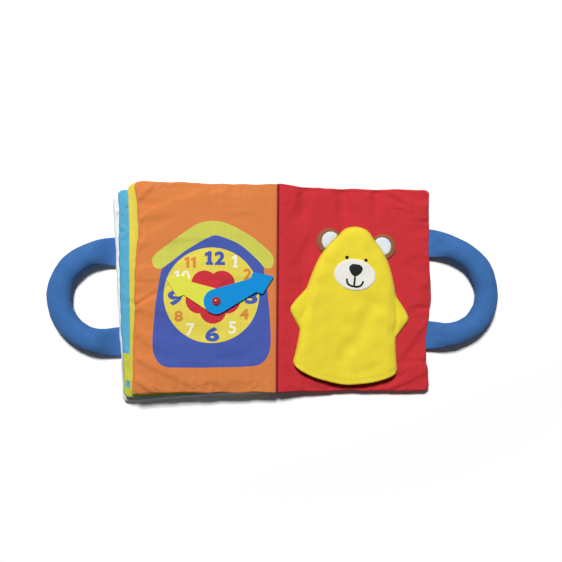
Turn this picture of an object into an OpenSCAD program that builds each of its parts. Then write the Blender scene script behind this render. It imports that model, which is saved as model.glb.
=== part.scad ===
// Soft cloth activity book for a baby, lying open at its last spread.
// Two padded covers and a block of padded leaves swing about one sewn spine seam.
// The left-hand page carries a clock with two turning hands on a rivet.
// The right-hand page carries a bear hand puppet, sewn down, with its wrist end open.
// Frame: +Z up, +Y to the head of the pages, the spine seam runs along Y at x = 0.

/* [Covers] */
// Width of a cover from the spine seam to its fore-edge
cover_w = 164; // [140:1:190]
// Height of the covers and leaves from foot to head
cover_h = 216; // [190:1:250]
// Thickness of a padded cover
cover_t = 12; // [9:0.5:15]
// Radius of the outer corners in plan
corner_r = 6; // [4:0.5:12]
// Width of the rounded border that runs down to the sewn lip
edge_w = 16; // [10:1:22]
// Thickness of the sewn lip as a share of the padding beside it
lip_share = 0.25; // [0.2:0.01:0.4]
// Share by which the padding thins from the middle of a page to its head and foot
crown = 0.1; // [0.05:0.01:0.15]
// Depth by which the underside is pressed flat on the table
press_d = 0.9; // [0.5:0.1:1.2]

/* [Spine] */
// Height of the sewn spine seam above the table
seam_z = 22; // [18:0.5:26]
// Radius of the rolled seam
seam_r = 1.8; // [1.4:0.1:2.2]
// Gap between the rolled seam and the inner edges that swing round it
seam_gap = 0.4; // [0.3:0.05:0.6]
// Length of the seam left free at the head and the foot
seam_inset = 3; // [1:0.5:8]
// Width over which an open cover comes down from the seam to the table
lift_len = 70; // [60:1:80]
// Width over which the right-hand cover fattens from the seam
fatten_len = 60; // [50:1:70]

/* [Leaves] */
// Thickness of each padded leaf at the fore-edge
leaf_t = 13; // [10:0.5:16]
// Distance by which the lower leaf stops short of the cover's fore-edge
lower_leaf_inset = 6; // [4:0.5:12]
// Distance by which the upper leaf, which carries the clock, stops short of the cover's fore-edge
upper_leaf_inset = 15; // [8:0.5:24]
// Gap between one pad and the next
leaf_gap = 0.4; // [0.3:0.05:0.6]

/* [Handles] */
// Diameter of the stuffed tube
tube_d = 26; // [20:0.5:30]
// Radius of the handle's bend, at the middle of the tube
bend_r = 49; // [42:0.5:56]
// Length of each leg from the cover's edge to the bend
leg_len = 14; // [12:0.5:24]
// Length over which a leg flattens into its sewn tab
flatten_len = 12; // [8:0.5:12]
// Width of the sewn tab
tab_w = 28; // [20:0.5:32]
// Thickness of the sewn tab
tab_t = 2; // [1.2:0.1:2.2]
// Depth of the tab inside the cover's edge
tab_depth = 8; // [5:0.5:12]
// Gap all round the tab in its slot
tab_gap = 0.15; // [0.1:0.05:0.3]

/* [Clock] */
// Distance of the clock's pivot from the spine seam
pivot_d = 64; // [60:0.5:75]
// Height of the pivot above the middle of the page
pivot_y = -13; // [-25:0.5:0]
// Thickness of a hand
hand_t = 1.4; // [1.2:0.1:1.6]
// Radius of the round hub of a hand
hub_r = 13; // [9:0.5:14]
// Length of the minute hand from the pivot to its point
minute_len = 64.5; // [50:0.5:65]
// Length of the hour hand from the pivot to its point
hour_len = 55.5; // [40:0.5:58]
// Length of the arrow head of a hand, from the end of the bar to the point
arrow_len = 22.5; // [15:0.5:25]
// Distance by which the barbs of the arrow head lie ahead of the end of the bar
barb_lead = 5; // [0:0.5:8]
// Half the width of the arrow head
arrow_half = 12.5; // [9:0.5:14]
// Half the width of the bar behind the arrow head
neck_half = 7.5; // [4:0.5:8.5]
// Rounding of a hand's corners
hand_round = 1.5; // [0.5:0.1:2]
// Angle of the minute hand from the +X side
minute_angle = 24; // [0:1:359]
// Angle of the hour hand from the +X side
hour_angle = 156; // [0:1:359]
// Air between the page, the hands and the rivet's cap
hand_air = 0.25; // [0.2:0.05:0.3]
// Radius of the rivet's post
post_r = 2.5; // [1.5:0.1:3.5]
// Radial clearance of a hand on the post
running_gap = 0.05; // [0.02:0.01:0.1]
// Radius of the rivet's domed cap
cap_r = 4.6; // [4:0.1:7]
// Height of the rivet's domed cap
cap_h = 2.8; // [1.5:0.1:3.5]
// Radius of the retaining plate inside the leaf
plate_r = 8; // [6:0.5:11]
// Thickness of the retaining plate
plate_t = 1.4; // [1:0.1:2]
// Depth of the retaining plate under the page
plate_depth = 2.5; // [2:0.1:3.5]
// Gap round the post and the plate inside the leaf
rivet_gap = 0.1; // [0.05:0.01:0.2]

/* [Puppet] */
// Distance of the puppet's middle from the spine seam
puppet_x = 77; // [72:0.5:84]
// Height of the puppet's middle above the middle of the page
puppet_y = -26; // [-30:0.5:-15]
// Lean of the puppet to the right
puppet_lean = 4.6; // [0:0.1:8]
// Thickness of the fleece panels
panel_t = 1.2; // [0.8:0.1:1.8]
// Height of the hand pocket between the two panels
pocket_h = 5.6; // [5:0.1:8]
// Gap between the puppet and the page, and between its layers
layer_gap = 0.3; // [0.2:0.05:0.4]
// Radius of an ear
ear_r = 14; // [10:0.5:16]
// Radius of the lining in an ear
lining_r = 9.5; // [6:0.5:9.5]
// Thickness of an ear
ear_t = 2; // [1.2:0.1:2.6]
// Thickness of the ear linings and the muzzle patch
patch_t = 0.8; // [0.5:0.1:1.2]
// Half the width of the muzzle patch
muzzle_half_w = 22; // [18:0.5:24]
// Half the height of the muzzle patch
muzzle_half_h = 16.5; // [14:0.5:18]
// Further lean of the face on the puppet
face_lean = 3.5; // [0:0.1:6]
// Radius of an eye
eye_r = 1.8; // [1.2:0.1:2.5]
// Half the width of the nose
nose_half_w = 7.3; // [5:0.1:9]
// Half the height of the nose
nose_half_h = 6.5; // [5:0.1:8]
// Radius of the smile
smile_r = 8.3; // [6:0.1:9]
// Width of the stitched smile and stem
stitch_w = 1.3; // [0.8:0.1:1.8]
// Height of the stitched eyes, nose and smile
stitch_t = 0.6; // [0.4:0.1:1]

/* [Hidden] */
$fn = 64;

// Steps of a pad across and along it, closer together at the edges
pad_steps = 20;
// Distance from the seam at which the swinging inner edges start
inner_d = seam_r + seam_gap;
// Distance from the seam at which an edge is fully rounded
free_d = 2 * edge_w;
// Step of a pad up to which the two leaves are sewn together
join_step = 5;
// Widths of the two leaves from the seam
lower_leaf_w = cover_w - lower_leaf_inset;
upper_leaf_w = cover_w - upper_leaf_inset;
// Height of the left-hand stack at the fore-edge
stack_h = cover_t + 2 * leaf_t;
// Slope of the left-hand page, which runs straight up from the seam
page_slope = atan((stack_h - seam_z) / cover_w);

// Shares of the left-hand stack that lie below the tops of the cover and the lower leaf
cover_share = cover_t / stack_h;
lower_share = (cover_t + leaf_t) / stack_h;

// Underside of an open cover at distance d from the seam
function under_z(d) = d < lift_len ? seam_z * pow(1 - d / lift_len, 2) : 0;
// Top of the left-hand stack
function stack_z(d) = seam_z + (stack_h - seam_z) * d / cover_w;
// Height at a share of the left-hand stack
function level_z(share, d) = under_z(d) + share * (stack_z(d) - under_z(d));
// Top of the right-hand cover
function back_z(d) = under_z(d) + cover_t * (1 - pow(1 - min(1, d / fatten_len), 2));

// Rise of the padding at distance s from its edge, from 0 to 1
function swell(s) = s >= edge_w ? 1 : sqrt(1 - pow(1 - max(0, s) / edge_w, 2));
// Fore-edge of a pad of width w at height y, with its corner rounded
function fore_d(w, y) =
    let (past = max(0, abs(y) - (cover_h / 2 - corner_r)))
    w - corner_r + sqrt(max(0, corner_r * corner_r - past * past));
// Share of the full padding at a point: crowned in the middle and thinned to the lip at the free edges
function fullness(d, y, w) =
    let (
        rim = swell(fore_d(w, y) - d) * swell(cover_h / 2 - abs(y)),
        free = min(1, d / free_d),
        crowned = 1 - crown * pow(2 * y / cover_h, 2)
    )
    crowned * (1 - (1 - lip_share) * (1 - rim) * free);

// Even share of a turn of steps, bunched up at both ends
function bunched(i) = (1 - cos(180 * i / pad_steps)) / 2;
// Distance of step i from the seam, on a pad of width w at height y
function step_d(i, w, y) = inner_d + (fore_d(w, y) - inner_d) * bunched(i);
// Height of step j above the middle of the page
function step_y(j) = cover_h * (bunched(j) - 0.5);
// Point on a pad between the surfaces low(d) and high(d): side is 1 for its top and -1 for its underside
function pad_point(i, y, w, low, high, side) =
    let (
        d = step_d(i, w, y),
        middle = (high(d) + low(d)) / 2,
        half = (high(d) - low(d)) / 2
    )
    [d, y, middle + side * half * fullness(d, y, w)];

// Cross-section of one pad at height y: out along its underside and back along its top
function pad_section(y, w, low, high) = concat(
    [for (i = [0:pad_steps]) pad_point(i, y, w, low, high, -1)],
    [for (i = [pad_steps:-1:0]) pad_point(i, y, w, low, high, 1)]
);

// Skin over a row of closed cross-sections with equal numbers of points, closed at both ends by its cap
module skin(sections, cap) {
    n = len(sections[0]);
    last = len(sections) - 1;
    walls = [
        for (j = [0:last - 1], i = [0:n - 1])
            [j * n + i, j * n + (i + 1) % n, (j + 1) * n + (i + 1) % n, (j + 1) * n + i]
    ];
    foot = [for (f = cap) [for (k = [len(f) - 1:-1:0]) f[k]]];
    head = [for (f = cap) [for (k = f) last * n + k]];
    polyhedron(points = [for (s = sections) each s], faces = concat(walls, foot, head), convexity = 6);
}

// Row of faces across the end of a pad from step first to step last. The points of its underside
// count up from under and the points of its top count down from top.
function end_faces(first, last, under, top) =
    [for (i = [first:last - 1]) [under + i, under + i + 1, top - i - 1, top - i]];

// A padded panel of width w from the seam, between the surfaces low(d) and high(d)
module pad(w, low, high) {
    skin(
        [for (j = [0:pad_steps]) pad_section(step_y(j), w, low, high)],
        end_faces(0, pad_steps, 0, 2 * pad_steps + 1)
    );
}

// The space under the table top
module table() {
    depth = 10;
    translate([-2 * cover_w, -cover_h, -depth]) cube([4 * cover_w, 2 * cover_h, depth]);
}

// The flat tabs of a handle on the right-hand side, grown by gap, reaching past the edge by past
module tabs(gap, past) {
    for (side = [-1, 1])
        translate([cover_w - tab_depth - gap, side * bend_r - tab_w / 2 - gap, cover_t / 2 - tab_t / 2 - gap])
            cube([tab_depth + gap + past, tab_w + 2 * gap, tab_t + 2 * gap]);
}

// A cover that opens to the right, pressed flat on the table and slotted for the handle's tabs
module cover(high) {
    difference() {
        pad(cover_w, function (d) under_z(d) - press_d, high);
        table();
        tabs(tab_gap, edge_w);
    }
}

// A stuffed loop on the right-hand side whose legs flatten into tabs sewn in the cover's edge
module handle() {
    lip = 0.5;
    tube_r = tube_d / 2;
    translate([cover_w + leg_len, 0, tube_r])
        rotate([0, 0, -90])
            rotate_extrude(angle = 180)
                translate([bend_r, 0]) circle(r = tube_r);
    for (side = [-1, 1]) {
        translate([cover_w + flatten_len, side * bend_r, tube_r])
            rotate([0, 90, 0]) cylinder(h = leg_len - flatten_len, r = tube_r);
        hull() {
            translate([cover_w + flatten_len - lip, side * bend_r, tube_r])
                rotate([0, 90, 0]) cylinder(h = lip, r = tube_r, $fn = 32);
            translate([cover_w + tab_gap, side * bend_r - tab_w / 2, cover_t / 2 - tab_t / 2])
                cube([lip, tab_w, tab_t]);
        }
    }
    tabs(0, tab_gap + lip);
}

module front_cover() {
    color("white") mirror([1, 0, 0]) cover(function (d) level_z(cover_share, d) - leaf_gap / 2);
}

module front_handle() {
    color("royalblue") mirror([1, 0, 0]) handle();
}

module back_cover() {
    color("crimson") cover(function (d) back_z(d));
}

module back_handle() {
    color("royalblue") handle();
}

// The rolled and stitched seam that all the pads swing about
module spine_seam() {
    color("darkred")
        translate([0, cover_h / 2 - seam_inset, seam_z])
            rotate([90, 0, 0]) cylinder(h = cover_h - 2 * seam_inset, r = seam_r);
}

// Half the gap between the two leaves, which closes where they are sewn together
function parting(d) = leaf_gap / 2 * min(1, d / free_d);
// Cross-section of both leaves as one piece, forked from the seam towards the fore-edge
function fork_section(y) =
    let (
        foot = function (d) level_z(cover_share, d) + leaf_gap / 2,
        lower_top = function (d) level_z(lower_share, d) - parting(d),
        upper_foot = function (d) level_z(lower_share, d) + parting(d),
        top = function (d) stack_z(d)
    )
    concat(
        [for (i = [0:pad_steps]) pad_point(i, y, lower_leaf_w, foot, lower_top, -1)],
        [for (i = [pad_steps:-1:join_step]) pad_point(i, y, lower_leaf_w, foot, lower_top, 1)],
        [for (i = [join_step + 1:pad_steps]) pad_point(i, y, upper_leaf_w, upper_foot, top, -1)],
        [for (i = [pad_steps:-1:0]) pad_point(i, y, upper_leaf_w, upper_foot, top, 1)]
    );

// End of the forked section: the sewn root, the two leaves, and the corner where they part
lower_top_first = 2 * pad_steps + 1;
upper_foot_first = 2 * pad_steps + 1 - 2 * join_step;
upper_top_first = 4 * pad_steps + 2 - 2 * join_step;
fork_end = concat(
    end_faces(0, join_step, 0, upper_top_first),
    end_faces(join_step, pad_steps, 0, lower_top_first),
    end_faces(join_step, pad_steps, upper_foot_first, upper_top_first),
    [[join_step, lower_top_first - join_step, upper_top_first - join_step]]
);

// Places its children on the clock page at the pivot, with +Z square to the page
module on_clock_page() {
    translate([-pivot_d, pivot_y, stack_z(pivot_d)]) rotate([0, page_slope, 0]) children();
}

// Heights of the clock's layers above the page
hour_z = hand_air;
minute_z = hour_z + hand_t + hand_air;
cap_z = minute_z + hand_t + hand_air;
plate_z = -plate_depth - plate_t;

// The two leaves with the rivet's seat let into the upper one
module pages() {
    color("darkorange") difference() {
        mirror([1, 0, 0]) skin([for (j = [0:pad_steps]) fork_section(step_y(j))], fork_end);
        on_clock_page() {
            translate([0, 0, plate_z]) cylinder(h = plate_depth + plate_t + edge_w, r = post_r + rivet_gap);
            translate([0, 0, plate_z - rivet_gap])
                cylinder(h = plate_t + 2 * rivet_gap, r = plate_r + rivet_gap);
        }
    }
}

// Domed cap and post of the rivet in one turned profile
module rivet_cap() {
    dome_r = (cap_r * cap_r + cap_h * cap_h) / (2 * cap_h);
    color("firebrick") on_clock_page() rotate_extrude() {
        intersection() {
            translate([0, cap_z + cap_h - dome_r]) circle(r = dome_r);
            translate([0, cap_z]) square([cap_r, cap_h]);
        }
        translate([0, plate_z]) square([post_r, cap_z - plate_z]);
    }
}

// Plate that holds the post inside the leaf
module rivet_plate() {
    color("firebrick") on_clock_page() translate([0, 0, plate_z]) difference() {
        cylinder(h = plate_t, r = plate_r);
        translate([0, 0, -plate_t]) cylinder(h = 3 * plate_t, r = post_r + rivet_gap);
    }
}

// Outline of a hand that points along +X: hub, tapered bar and arrow head
module hand_outline(length) {
    neck = length - arrow_len;
    barb = neck + barb_lead;
    offset(r = hand_round) offset(delta = -hand_round) union() {
        circle(r = hub_r);
        polygon([
            [0, -hub_r], [neck, -neck_half], [barb, -arrow_half], [length, 0],
            [barb, arrow_half], [neck, neck_half], [0, hub_r]
        ]);
    }
}

// A flat hand drilled for the rivet's post
module hand(length, z, angle) {
    on_clock_page() translate([0, 0, z]) rotate([0, 0, angle]) difference() {
        linear_extrude(hand_t) hand_outline(length);
        translate([0, 0, -hand_t]) cylinder(h = 3 * hand_t, r = post_r + running_gap);
    }
}

module hour_hand() {
    color("yellowgreen") hand(hour_len, hour_z, hour_angle);
}

module minute_hand() {
    color("dodgerblue") hand(minute_len, minute_z, minute_angle);
}

// Right half of the puppet's outline from the crown to the middle of the wrist, about its own middle
half_outline = [
    [0, 93.5], [8.5, 92], [14.5, 88.3], [20, 81], [34.8, 62.4], [40.7, 49.7], [45.2, 35.5], [49.4, 22.3],
    [57.3, 13], [63.5, 1.5], [57, -12], [52, -20.5], [53, -33], [55.3, -54.5], [48, -62], [25, -70.3]
];
wrist = [0, -74];
outline_knots = concat(
    half_outline,
    [wrist],
    [for (i = [len(half_outline) - 1:-1:1]) [-half_outline[i][0], half_outline[i][1]]]
);
// Points drawn between one knot and the next
knot_steps = 2;

// Point a share t of the way along a smooth curve from p1 to p2, with neighbours p0 and p3
function curve_point(p0, p1, p2, p3, t) =
    p1 + t / 2 * ((p2 - p0) + t * ((2 * p0 - 5 * p1 + 4 * p2 - p3) + t * (3 * (p1 - p2) + p3 - p0)));
// Smooth closed curve through knots
function closed_curve(knots, steps) =
    let (n = len(knots))
    [
        for (i = [0:n - 1], s = [0:steps - 1])
            curve_point(knots[(i + n - 1) % n], knots[i], knots[(i + 1) % n], knots[(i + 2) % n], s / steps)
    ];
// Ellipse about a centre
function ellipse(centre, half_w, half_h, steps) =
    [for (i = [0:steps - 1]) centre + [half_w * sin(360 * i / steps), half_h * cos(360 * i / steps)]];
// Point of the puppet's own frame on the right-hand page
function on_page(p) =
    let (c = cos(puppet_lean), s = sin(puppet_lean))
    [puppet_x + c * p[0] + s * p[1], puppet_y - s * p[0] + c * p[1]];

// A sheet inside a clockwise outline in the puppet's own frame. It lies on the page between
// low(share, spoke) and high(share, spoke), heights above the page at a share of the way out from the centre.
module sheet(outline, centre, rings, low, high) {
    n = len(outline);
    side_count = 1 + rings * n;
    side = function (height) concat(
        [let (p = on_page(centre)) [p[0], p[1], back_z(p[0]) + height(0, 0)]],
        [
            for (r = [1:rings], i = [0:n - 1])
                let (p = on_page(centre + (outline[i] - centre) * r / rings))
                [p[0], p[1], back_z(p[0]) + height(r / rings, i)]
        ]
    );
    fan = [for (i = [0:n - 1]) [0, 1 + i, 1 + (i + 1) % n]];
    bands = [
        for (r = [0:1:rings - 2], i = [0:n - 1])
            let (a = 1 + r * n + i, b = 1 + r * n + (i + 1) % n)
            [a, a + n, b + n, b]
    ];
    top = concat(fan, bands);
    under = [for (f = top) [for (k = [len(f) - 1:-1:0]) f[k] + side_count]];
    rim = [
        for (i = [0:n - 1])
            let (a = side_count - n + i, b = side_count - n + (i + 1) % n)
            [a, a + side_count, b + side_count, b]
    ];
    polyhedron(points = concat(side(high), side(low)), faces = concat(top, under, rim), convexity = 4);
}

puppet_outline = closed_curve(outline_knots, knot_steps);
puppet_rings = 6;
// Knots over which the open wrist runs from one bottom corner to the other
wrist_first = 13;
wrist_last = 19;
// Share of the way out at which the front panel starts to come down to the seam
shoulder = 0.72;

// Heights of the puppet's layers above the page
back_panel_top = layer_gap + panel_t;
front_rest = back_panel_top + layer_gap / 2;
front_top = front_rest + pocket_h + panel_t;
muzzle_z = front_top + layer_gap / 2;
muzzle_top = muzzle_z + patch_t;

// Opening of the wrist at a spoke of the outline, from 0 at its corners to 1 in its middle
function wrist_open(spoke) =
    let (t = (spoke / knot_steps - wrist_first) / (wrist_last - wrist_first))
    t <= 0 || t >= 1 ? 0 : min(1, 2.2 * sin(180 * t));
// Lift of the front panel off the back one, which is sewn to it everywhere but at the wrist
function lift(share, spoke) =
    let (
        run = max(0, share - shoulder) / (1 - shoulder),
        sewn = sqrt(max(0, 1 - run * run))
    )
    pocket_h * max(sewn, wrist_open(spoke));

module puppet_back_panel() {
    color("gold") sheet(
        puppet_outline, [0, 0], puppet_rings / 2,
        function (share, spoke) layer_gap,
        function (share, spoke) back_panel_top
    );
}

module puppet_front_panel() {
    color("gold") sheet(
        puppet_outline, [0, 0], puppet_rings,
        function (share, spoke) front_rest + lift(share, spoke),
        function (share, spoke) front_rest + lift(share, spoke) + panel_t
    );
}

// Middle of an ear beside the head, on the right for side 1
function ear_centre(side) = [side * 28.5, 75.5];
// Angle of the head's edge beside an ear, and how far it lies inside the ear's middle
ear_edge_angle = 36;
ear_edge_in = 1.8;
ear_steps = 28;
// Round outline of radius r about an ear's middle, cut straight along the head
function ear_outline(side, r) =
    let (c = ear_centre(side))
    [
        for (i = [0:ear_steps - 1])
            let (
                a = 360 * i / ear_steps,
                inward = -side * sin(a) * cos(ear_edge_angle) - cos(a) * sin(ear_edge_angle),
                reach = inward > 0.01 ? min(r, ear_edge_in / inward) : r
            )
            c + reach * [sin(a), cos(a)]
    ];

// An ear sewn in beside the head
module ear(side) {
    color("sienna") sheet(
        ear_outline(side, ear_r), ear_centre(side), 2,
        function (share, spoke) layer_gap,
        function (share, spoke) layer_gap + ear_t
    );
}

// The pale lining laid in an ear
module ear_lining(side) {
    color("aliceblue") sheet(
        ear_outline(side, lining_r), ear_centre(side), 2,
        function (share, spoke) 1.5 * layer_gap + ear_t,
        function (share, spoke) 1.5 * layer_gap + ear_t + patch_t
    );
}

// Middle of the muzzle in the puppet's own frame, and places of the face about it
muzzle_centre = [1.2, 42];
nose_v = 5;
smile_centre = [0.8, -4];
eye_v = 17;
eye_half_gap = 10.2;
// Point of the leaning face in the puppet's own frame
function on_face(p) =
    let (c = cos(face_lean), s = sin(face_lean))
    muzzle_centre + [c * p[0] + s * p[1], c * p[1] - s * p[0]];

module muzzle_patch() {
    color("white") sheet(
        [for (p = ellipse([0, 0], muzzle_half_w, muzzle_half_h, 36)) on_face(p)], muzzle_centre, 3,
        function (share, spoke) muzzle_z,
        function (share, spoke) muzzle_top
    );
}

// A small stitched oval on the face whose underside lies at height z above the page
module stitched_oval(centre, half_w, half_h, z) {
    color("black") sheet(
        [for (p = ellipse(centre, half_w, half_h, 24)) on_face(p)], on_face(centre), 1,
        function (share, spoke) z,
        function (share, spoke) z + stitch_t
    );
}

module stitched_nose() {
    stitched_oval([0, nose_v], nose_half_w, nose_half_h, muzzle_top + layer_gap / 2);
}

module stitched_eyes() {
    for (side = [-1, 1])
        stitched_oval([side * eye_half_gap, eye_v], eye_r, eye_r, front_top + layer_gap / 2);
}

// A smile with a stem up to the nose, as one raised line of stitching
module stitched_smile() {
    middle = on_page(on_face(smile_centre));
    stem_len = nose_v - nose_half_h - layer_gap - (smile_centre[1] - smile_r);
    color("black")
        translate([middle[0], middle[1], back_z(middle[0]) + muzzle_top + layer_gap])
            rotate([0, 0, -puppet_lean - face_lean]) linear_extrude(stitch_t) {
                difference() {
                    circle(r = smile_r + stitch_w / 2);
                    circle(r = smile_r - stitch_w / 2);
                    translate([-2 * smile_r, -smile_r / 4]) square([4 * smile_r, 2 * smile_r]);
                }
                translate([-stitch_w / 2, -smile_r]) square([stitch_w, stem_len]);
            }
}

front_cover();
front_handle();
spine_seam();
pages();
rivet_cap();
rivet_plate();
hour_hand();
minute_hand();
back_cover();
back_handle();
puppet_back_panel();
puppet_front_panel();
ear(-1);  // left_ear
ear(1);  // right_ear
ear_lining(-1);  // left_ear_lining
ear_lining(1);  // right_ear_lining
muzzle_patch();
stitched_nose();
stitched_eyes();
stitched_smile();
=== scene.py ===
"""Dresses a soft cloth activity book: padded pages, plush handles, a play clock and a bear hand puppet."""
import logging
import math
from dataclasses import dataclass, field
from enum import Enum
from typing import Any, Callable, Dict, List, Optional, Sequence, Tuple

import bmesh
import bpy
import numpy as np
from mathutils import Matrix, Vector
from mathutils.bvhtree import BVHTree
from mathutils.geometry import delaunay_2d_cdt


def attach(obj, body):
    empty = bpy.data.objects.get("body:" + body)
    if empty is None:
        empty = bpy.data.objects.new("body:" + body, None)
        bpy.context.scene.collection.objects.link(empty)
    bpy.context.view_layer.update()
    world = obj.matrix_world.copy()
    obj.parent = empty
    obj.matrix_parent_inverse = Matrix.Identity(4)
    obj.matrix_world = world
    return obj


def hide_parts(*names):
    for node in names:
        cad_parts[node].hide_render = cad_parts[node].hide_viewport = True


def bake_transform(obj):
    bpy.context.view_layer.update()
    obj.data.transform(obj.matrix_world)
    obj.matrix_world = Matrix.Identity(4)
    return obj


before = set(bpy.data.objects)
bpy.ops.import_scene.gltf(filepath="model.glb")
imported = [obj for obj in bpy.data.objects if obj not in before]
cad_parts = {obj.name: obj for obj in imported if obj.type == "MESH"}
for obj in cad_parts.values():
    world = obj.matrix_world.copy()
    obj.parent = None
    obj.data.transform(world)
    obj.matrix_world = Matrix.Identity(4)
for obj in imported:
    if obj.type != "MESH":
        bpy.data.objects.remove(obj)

log = logging.getLogger("cloth_book")
Array = np.ndarray
Surface = Callable[[Array], Array]
Loop = Array
Face = Tuple[int, ...]
Point = Tuple[float, float]
Colour = Tuple[float, float, float, float]
Sockets = Dict[Any, Any]
Piece = bpy.types.Object
Tree = bpy.types.NodeTree

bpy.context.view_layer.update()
MM = 0.001
TAU = 2 * math.pi


# Finishes


def srgb(hex_colour: str) -> Colour:
    """Turns an sRGB hex colour into linear light.

    Args:
        hex_colour: Colour such as "#E07F3F".

    Returns:
        Red, green, blue and alpha, linear.
    """
    parts = [int(hex_colour[i:i + 2], 16) / 255 for i in (1, 3, 5)]
    linear = [p / 12.92 if p <= 0.04045 else ((p + 0.055) / 1.055) ** 2.4 for p in parts]
    return (linear[0], linear[1], linear[2], 1.0)


def shaded(colour: Colour, factor: float) -> Colour:
    """Scales a linear colour by a factor, clipped to white."""
    red, green, blue = (min(1.0, c * factor) for c in colour[:3])
    return (red, green, blue, 1.0)


def add_node(
    tree: Tree, kind: str, settings: Optional[Sockets] = None, links: Optional[Sockets] = None
) -> bpy.types.Node:
    """Adds a shader node with its settings and links.

    Args:
        tree: Node tree to add to.
        kind: Blender's type name of the node.
        settings: Values by property name, input name or input number.
        links: Output sockets to link, by input name or number.

    Returns:
        The new node.
    """
    node = tree.nodes.new(kind)
    for key, value in (settings or {}).items():
        if isinstance(key, str) and hasattr(node, key):
            setattr(node, key, value)
        else:
            node.inputs[key].default_value = value
    for key, source in (links or {}).items():
        tree.links.new(source, node.inputs[key])
    return node


def cleared(owner: Any) -> Tree:
    """Gives a material or a world an empty node tree.

    Args:
        owner: The material or the world.

    Returns:
        Its node tree.
    """
    owner.use_nodes = True
    owner.node_tree.nodes.clear()
    return owner.node_tree


def wave_scale(period_mm: float) -> float:
    """Gives the Wave texture scale whose bands repeat every period_mm."""
    return TAU / (20 * period_mm * MM)


def noise_scale(size_mm: float) -> float:
    """Gives the Noise texture scale whose lumps are about size_mm across."""
    return 1 / (size_mm * MM)


@dataclass(frozen=True)
class Finish:
    """A surface finish that makes its own material."""

    name: str
    colour: str

    def material(self) -> bpy.types.Material:
        """Makes the material, or finds the one already made.

        Returns:
            The material.
        """
        made = bpy.data.materials.get(self.name)
        if made:
            return made
        made = bpy.data.materials.new(self.name)
        tree = cleared(made)
        place = add_node(tree, "ShaderNodeTexCoord").outputs["Object"]
        shader = add_node(tree, "ShaderNodeBsdfPrincipled", *self.layers(tree, place))
        add_node(tree, "ShaderNodeOutputMaterial", links={"Surface": shader.outputs[0]})
        return made

    def shades(self, dark: float, light: float) -> Sockets:
        """Gives the two colours of a mix: the finish's own, scaled to a dark and a light shade."""
        base = srgb(self.colour)
        return {"data_type": "RGBA", 6: shaded(base, dark), 7: shaded(base, light)}

    def layers(self, tree: Tree, place: bpy.types.NodeSocket) -> Tuple[Sockets, Sockets]:
        """Adds the finish's own nodes.

        Args:
            tree: Node tree of the material.
            place: Socket that gives the place on the piece.

        Returns:
            The shader's settings and its links.
        """
        raise NotImplementedError


@dataclass(frozen=True)
class WovenCotton(Finish):
    """Plain-woven cotton blend, dyed or printed.

    It is matt, with a basket of crossing threads and thicker slub threads that run both ways; its colour is painted
    darker in the weave's valleys, as shade, and varies along the slubs.
    """

    # Real threads are about 0.4 mm apart, drawn coarser so that they show.
    thread_mm: float = 1.0
    slub_mm: float = 2.4
    slub_run_mm: float = 45.0
    contrast: float = 0.07

    def layers(self, tree: Tree, place: bpy.types.NodeSocket) -> Tuple[Sockets, Sockets]:
        """Adds the weave and its slubs.

        Args:
            tree: Node tree of the material.
            place: Socket that gives the place on the piece.

        Returns:
            The shader's settings and its links.
        """
        thread = {"Scale": wave_scale(self.thread_mm), "Distortion": 0.6, "Detail": 1.0}
        warp, weft = (
            add_node(tree, "ShaderNodeTexWave", {"bands_direction": axis, **thread}, {"Vector": place})
            for axis in ("X", "Y")
        )
        weave = add_node(
            tree, "ShaderNodeMath", {"operation": "MAXIMUM"}, {0: warp.outputs["Fac"], 1: weft.outputs["Fac"]}
        )
        fine, run = noise_scale(self.slub_mm), noise_scale(self.slub_run_mm)
        slubs = []
        for stretch in ((fine, run, run), (run, fine, run)):
            laid = add_node(tree, "ShaderNodeMapping", {"Scale": stretch}, {"Vector": place})
            slub = {"Scale": 1.0, "Detail": 2.0, "Roughness": 0.6}
            slubs.append(add_node(tree, "ShaderNodeTexNoise", slub, {"Vector": laid.outputs[0]}).outputs["Fac"])
        both = add_node(tree, "ShaderNodeMath", {"operation": "ADD"}, {0: slubs[0], 1: slubs[1]})
        tone = add_node(
            tree, "ShaderNodeMath", {"operation": "MULTIPLY_ADD", 1: 0.3}, {0: weave.outputs[0], 2: both.outputs[0]}
        )
        depth = add_node(
            tree, "ShaderNodeMapRange", {"From Min": 0.75, "From Max": 1.75}, {"Value": tone.outputs[0]}
        )
        # Colour darker where the weave dips: painted shade in the weave's valleys, plus real tone along the slubs.
        dyed = add_node(
            tree, "ShaderNodeMix", self.shades(1 - self.contrast, 1 + self.contrast), {0: depth.outputs[0]}
        )
        bump = add_node(
            tree, "ShaderNodeBump", {"Strength": 0.35, "Distance": 0.25 * MM}, {"Height": tone.outputs[0]}
        )
        settings = {
            "Roughness": 0.88, "IOR": 1.46, "Specular IOR Level": 0.15, "Sheen Weight": 0.03, "Sheen Roughness": 0.6,
        }
        return settings, {"Base Color": dyed.outputs[2], "Normal": bump.outputs[0]}


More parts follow.
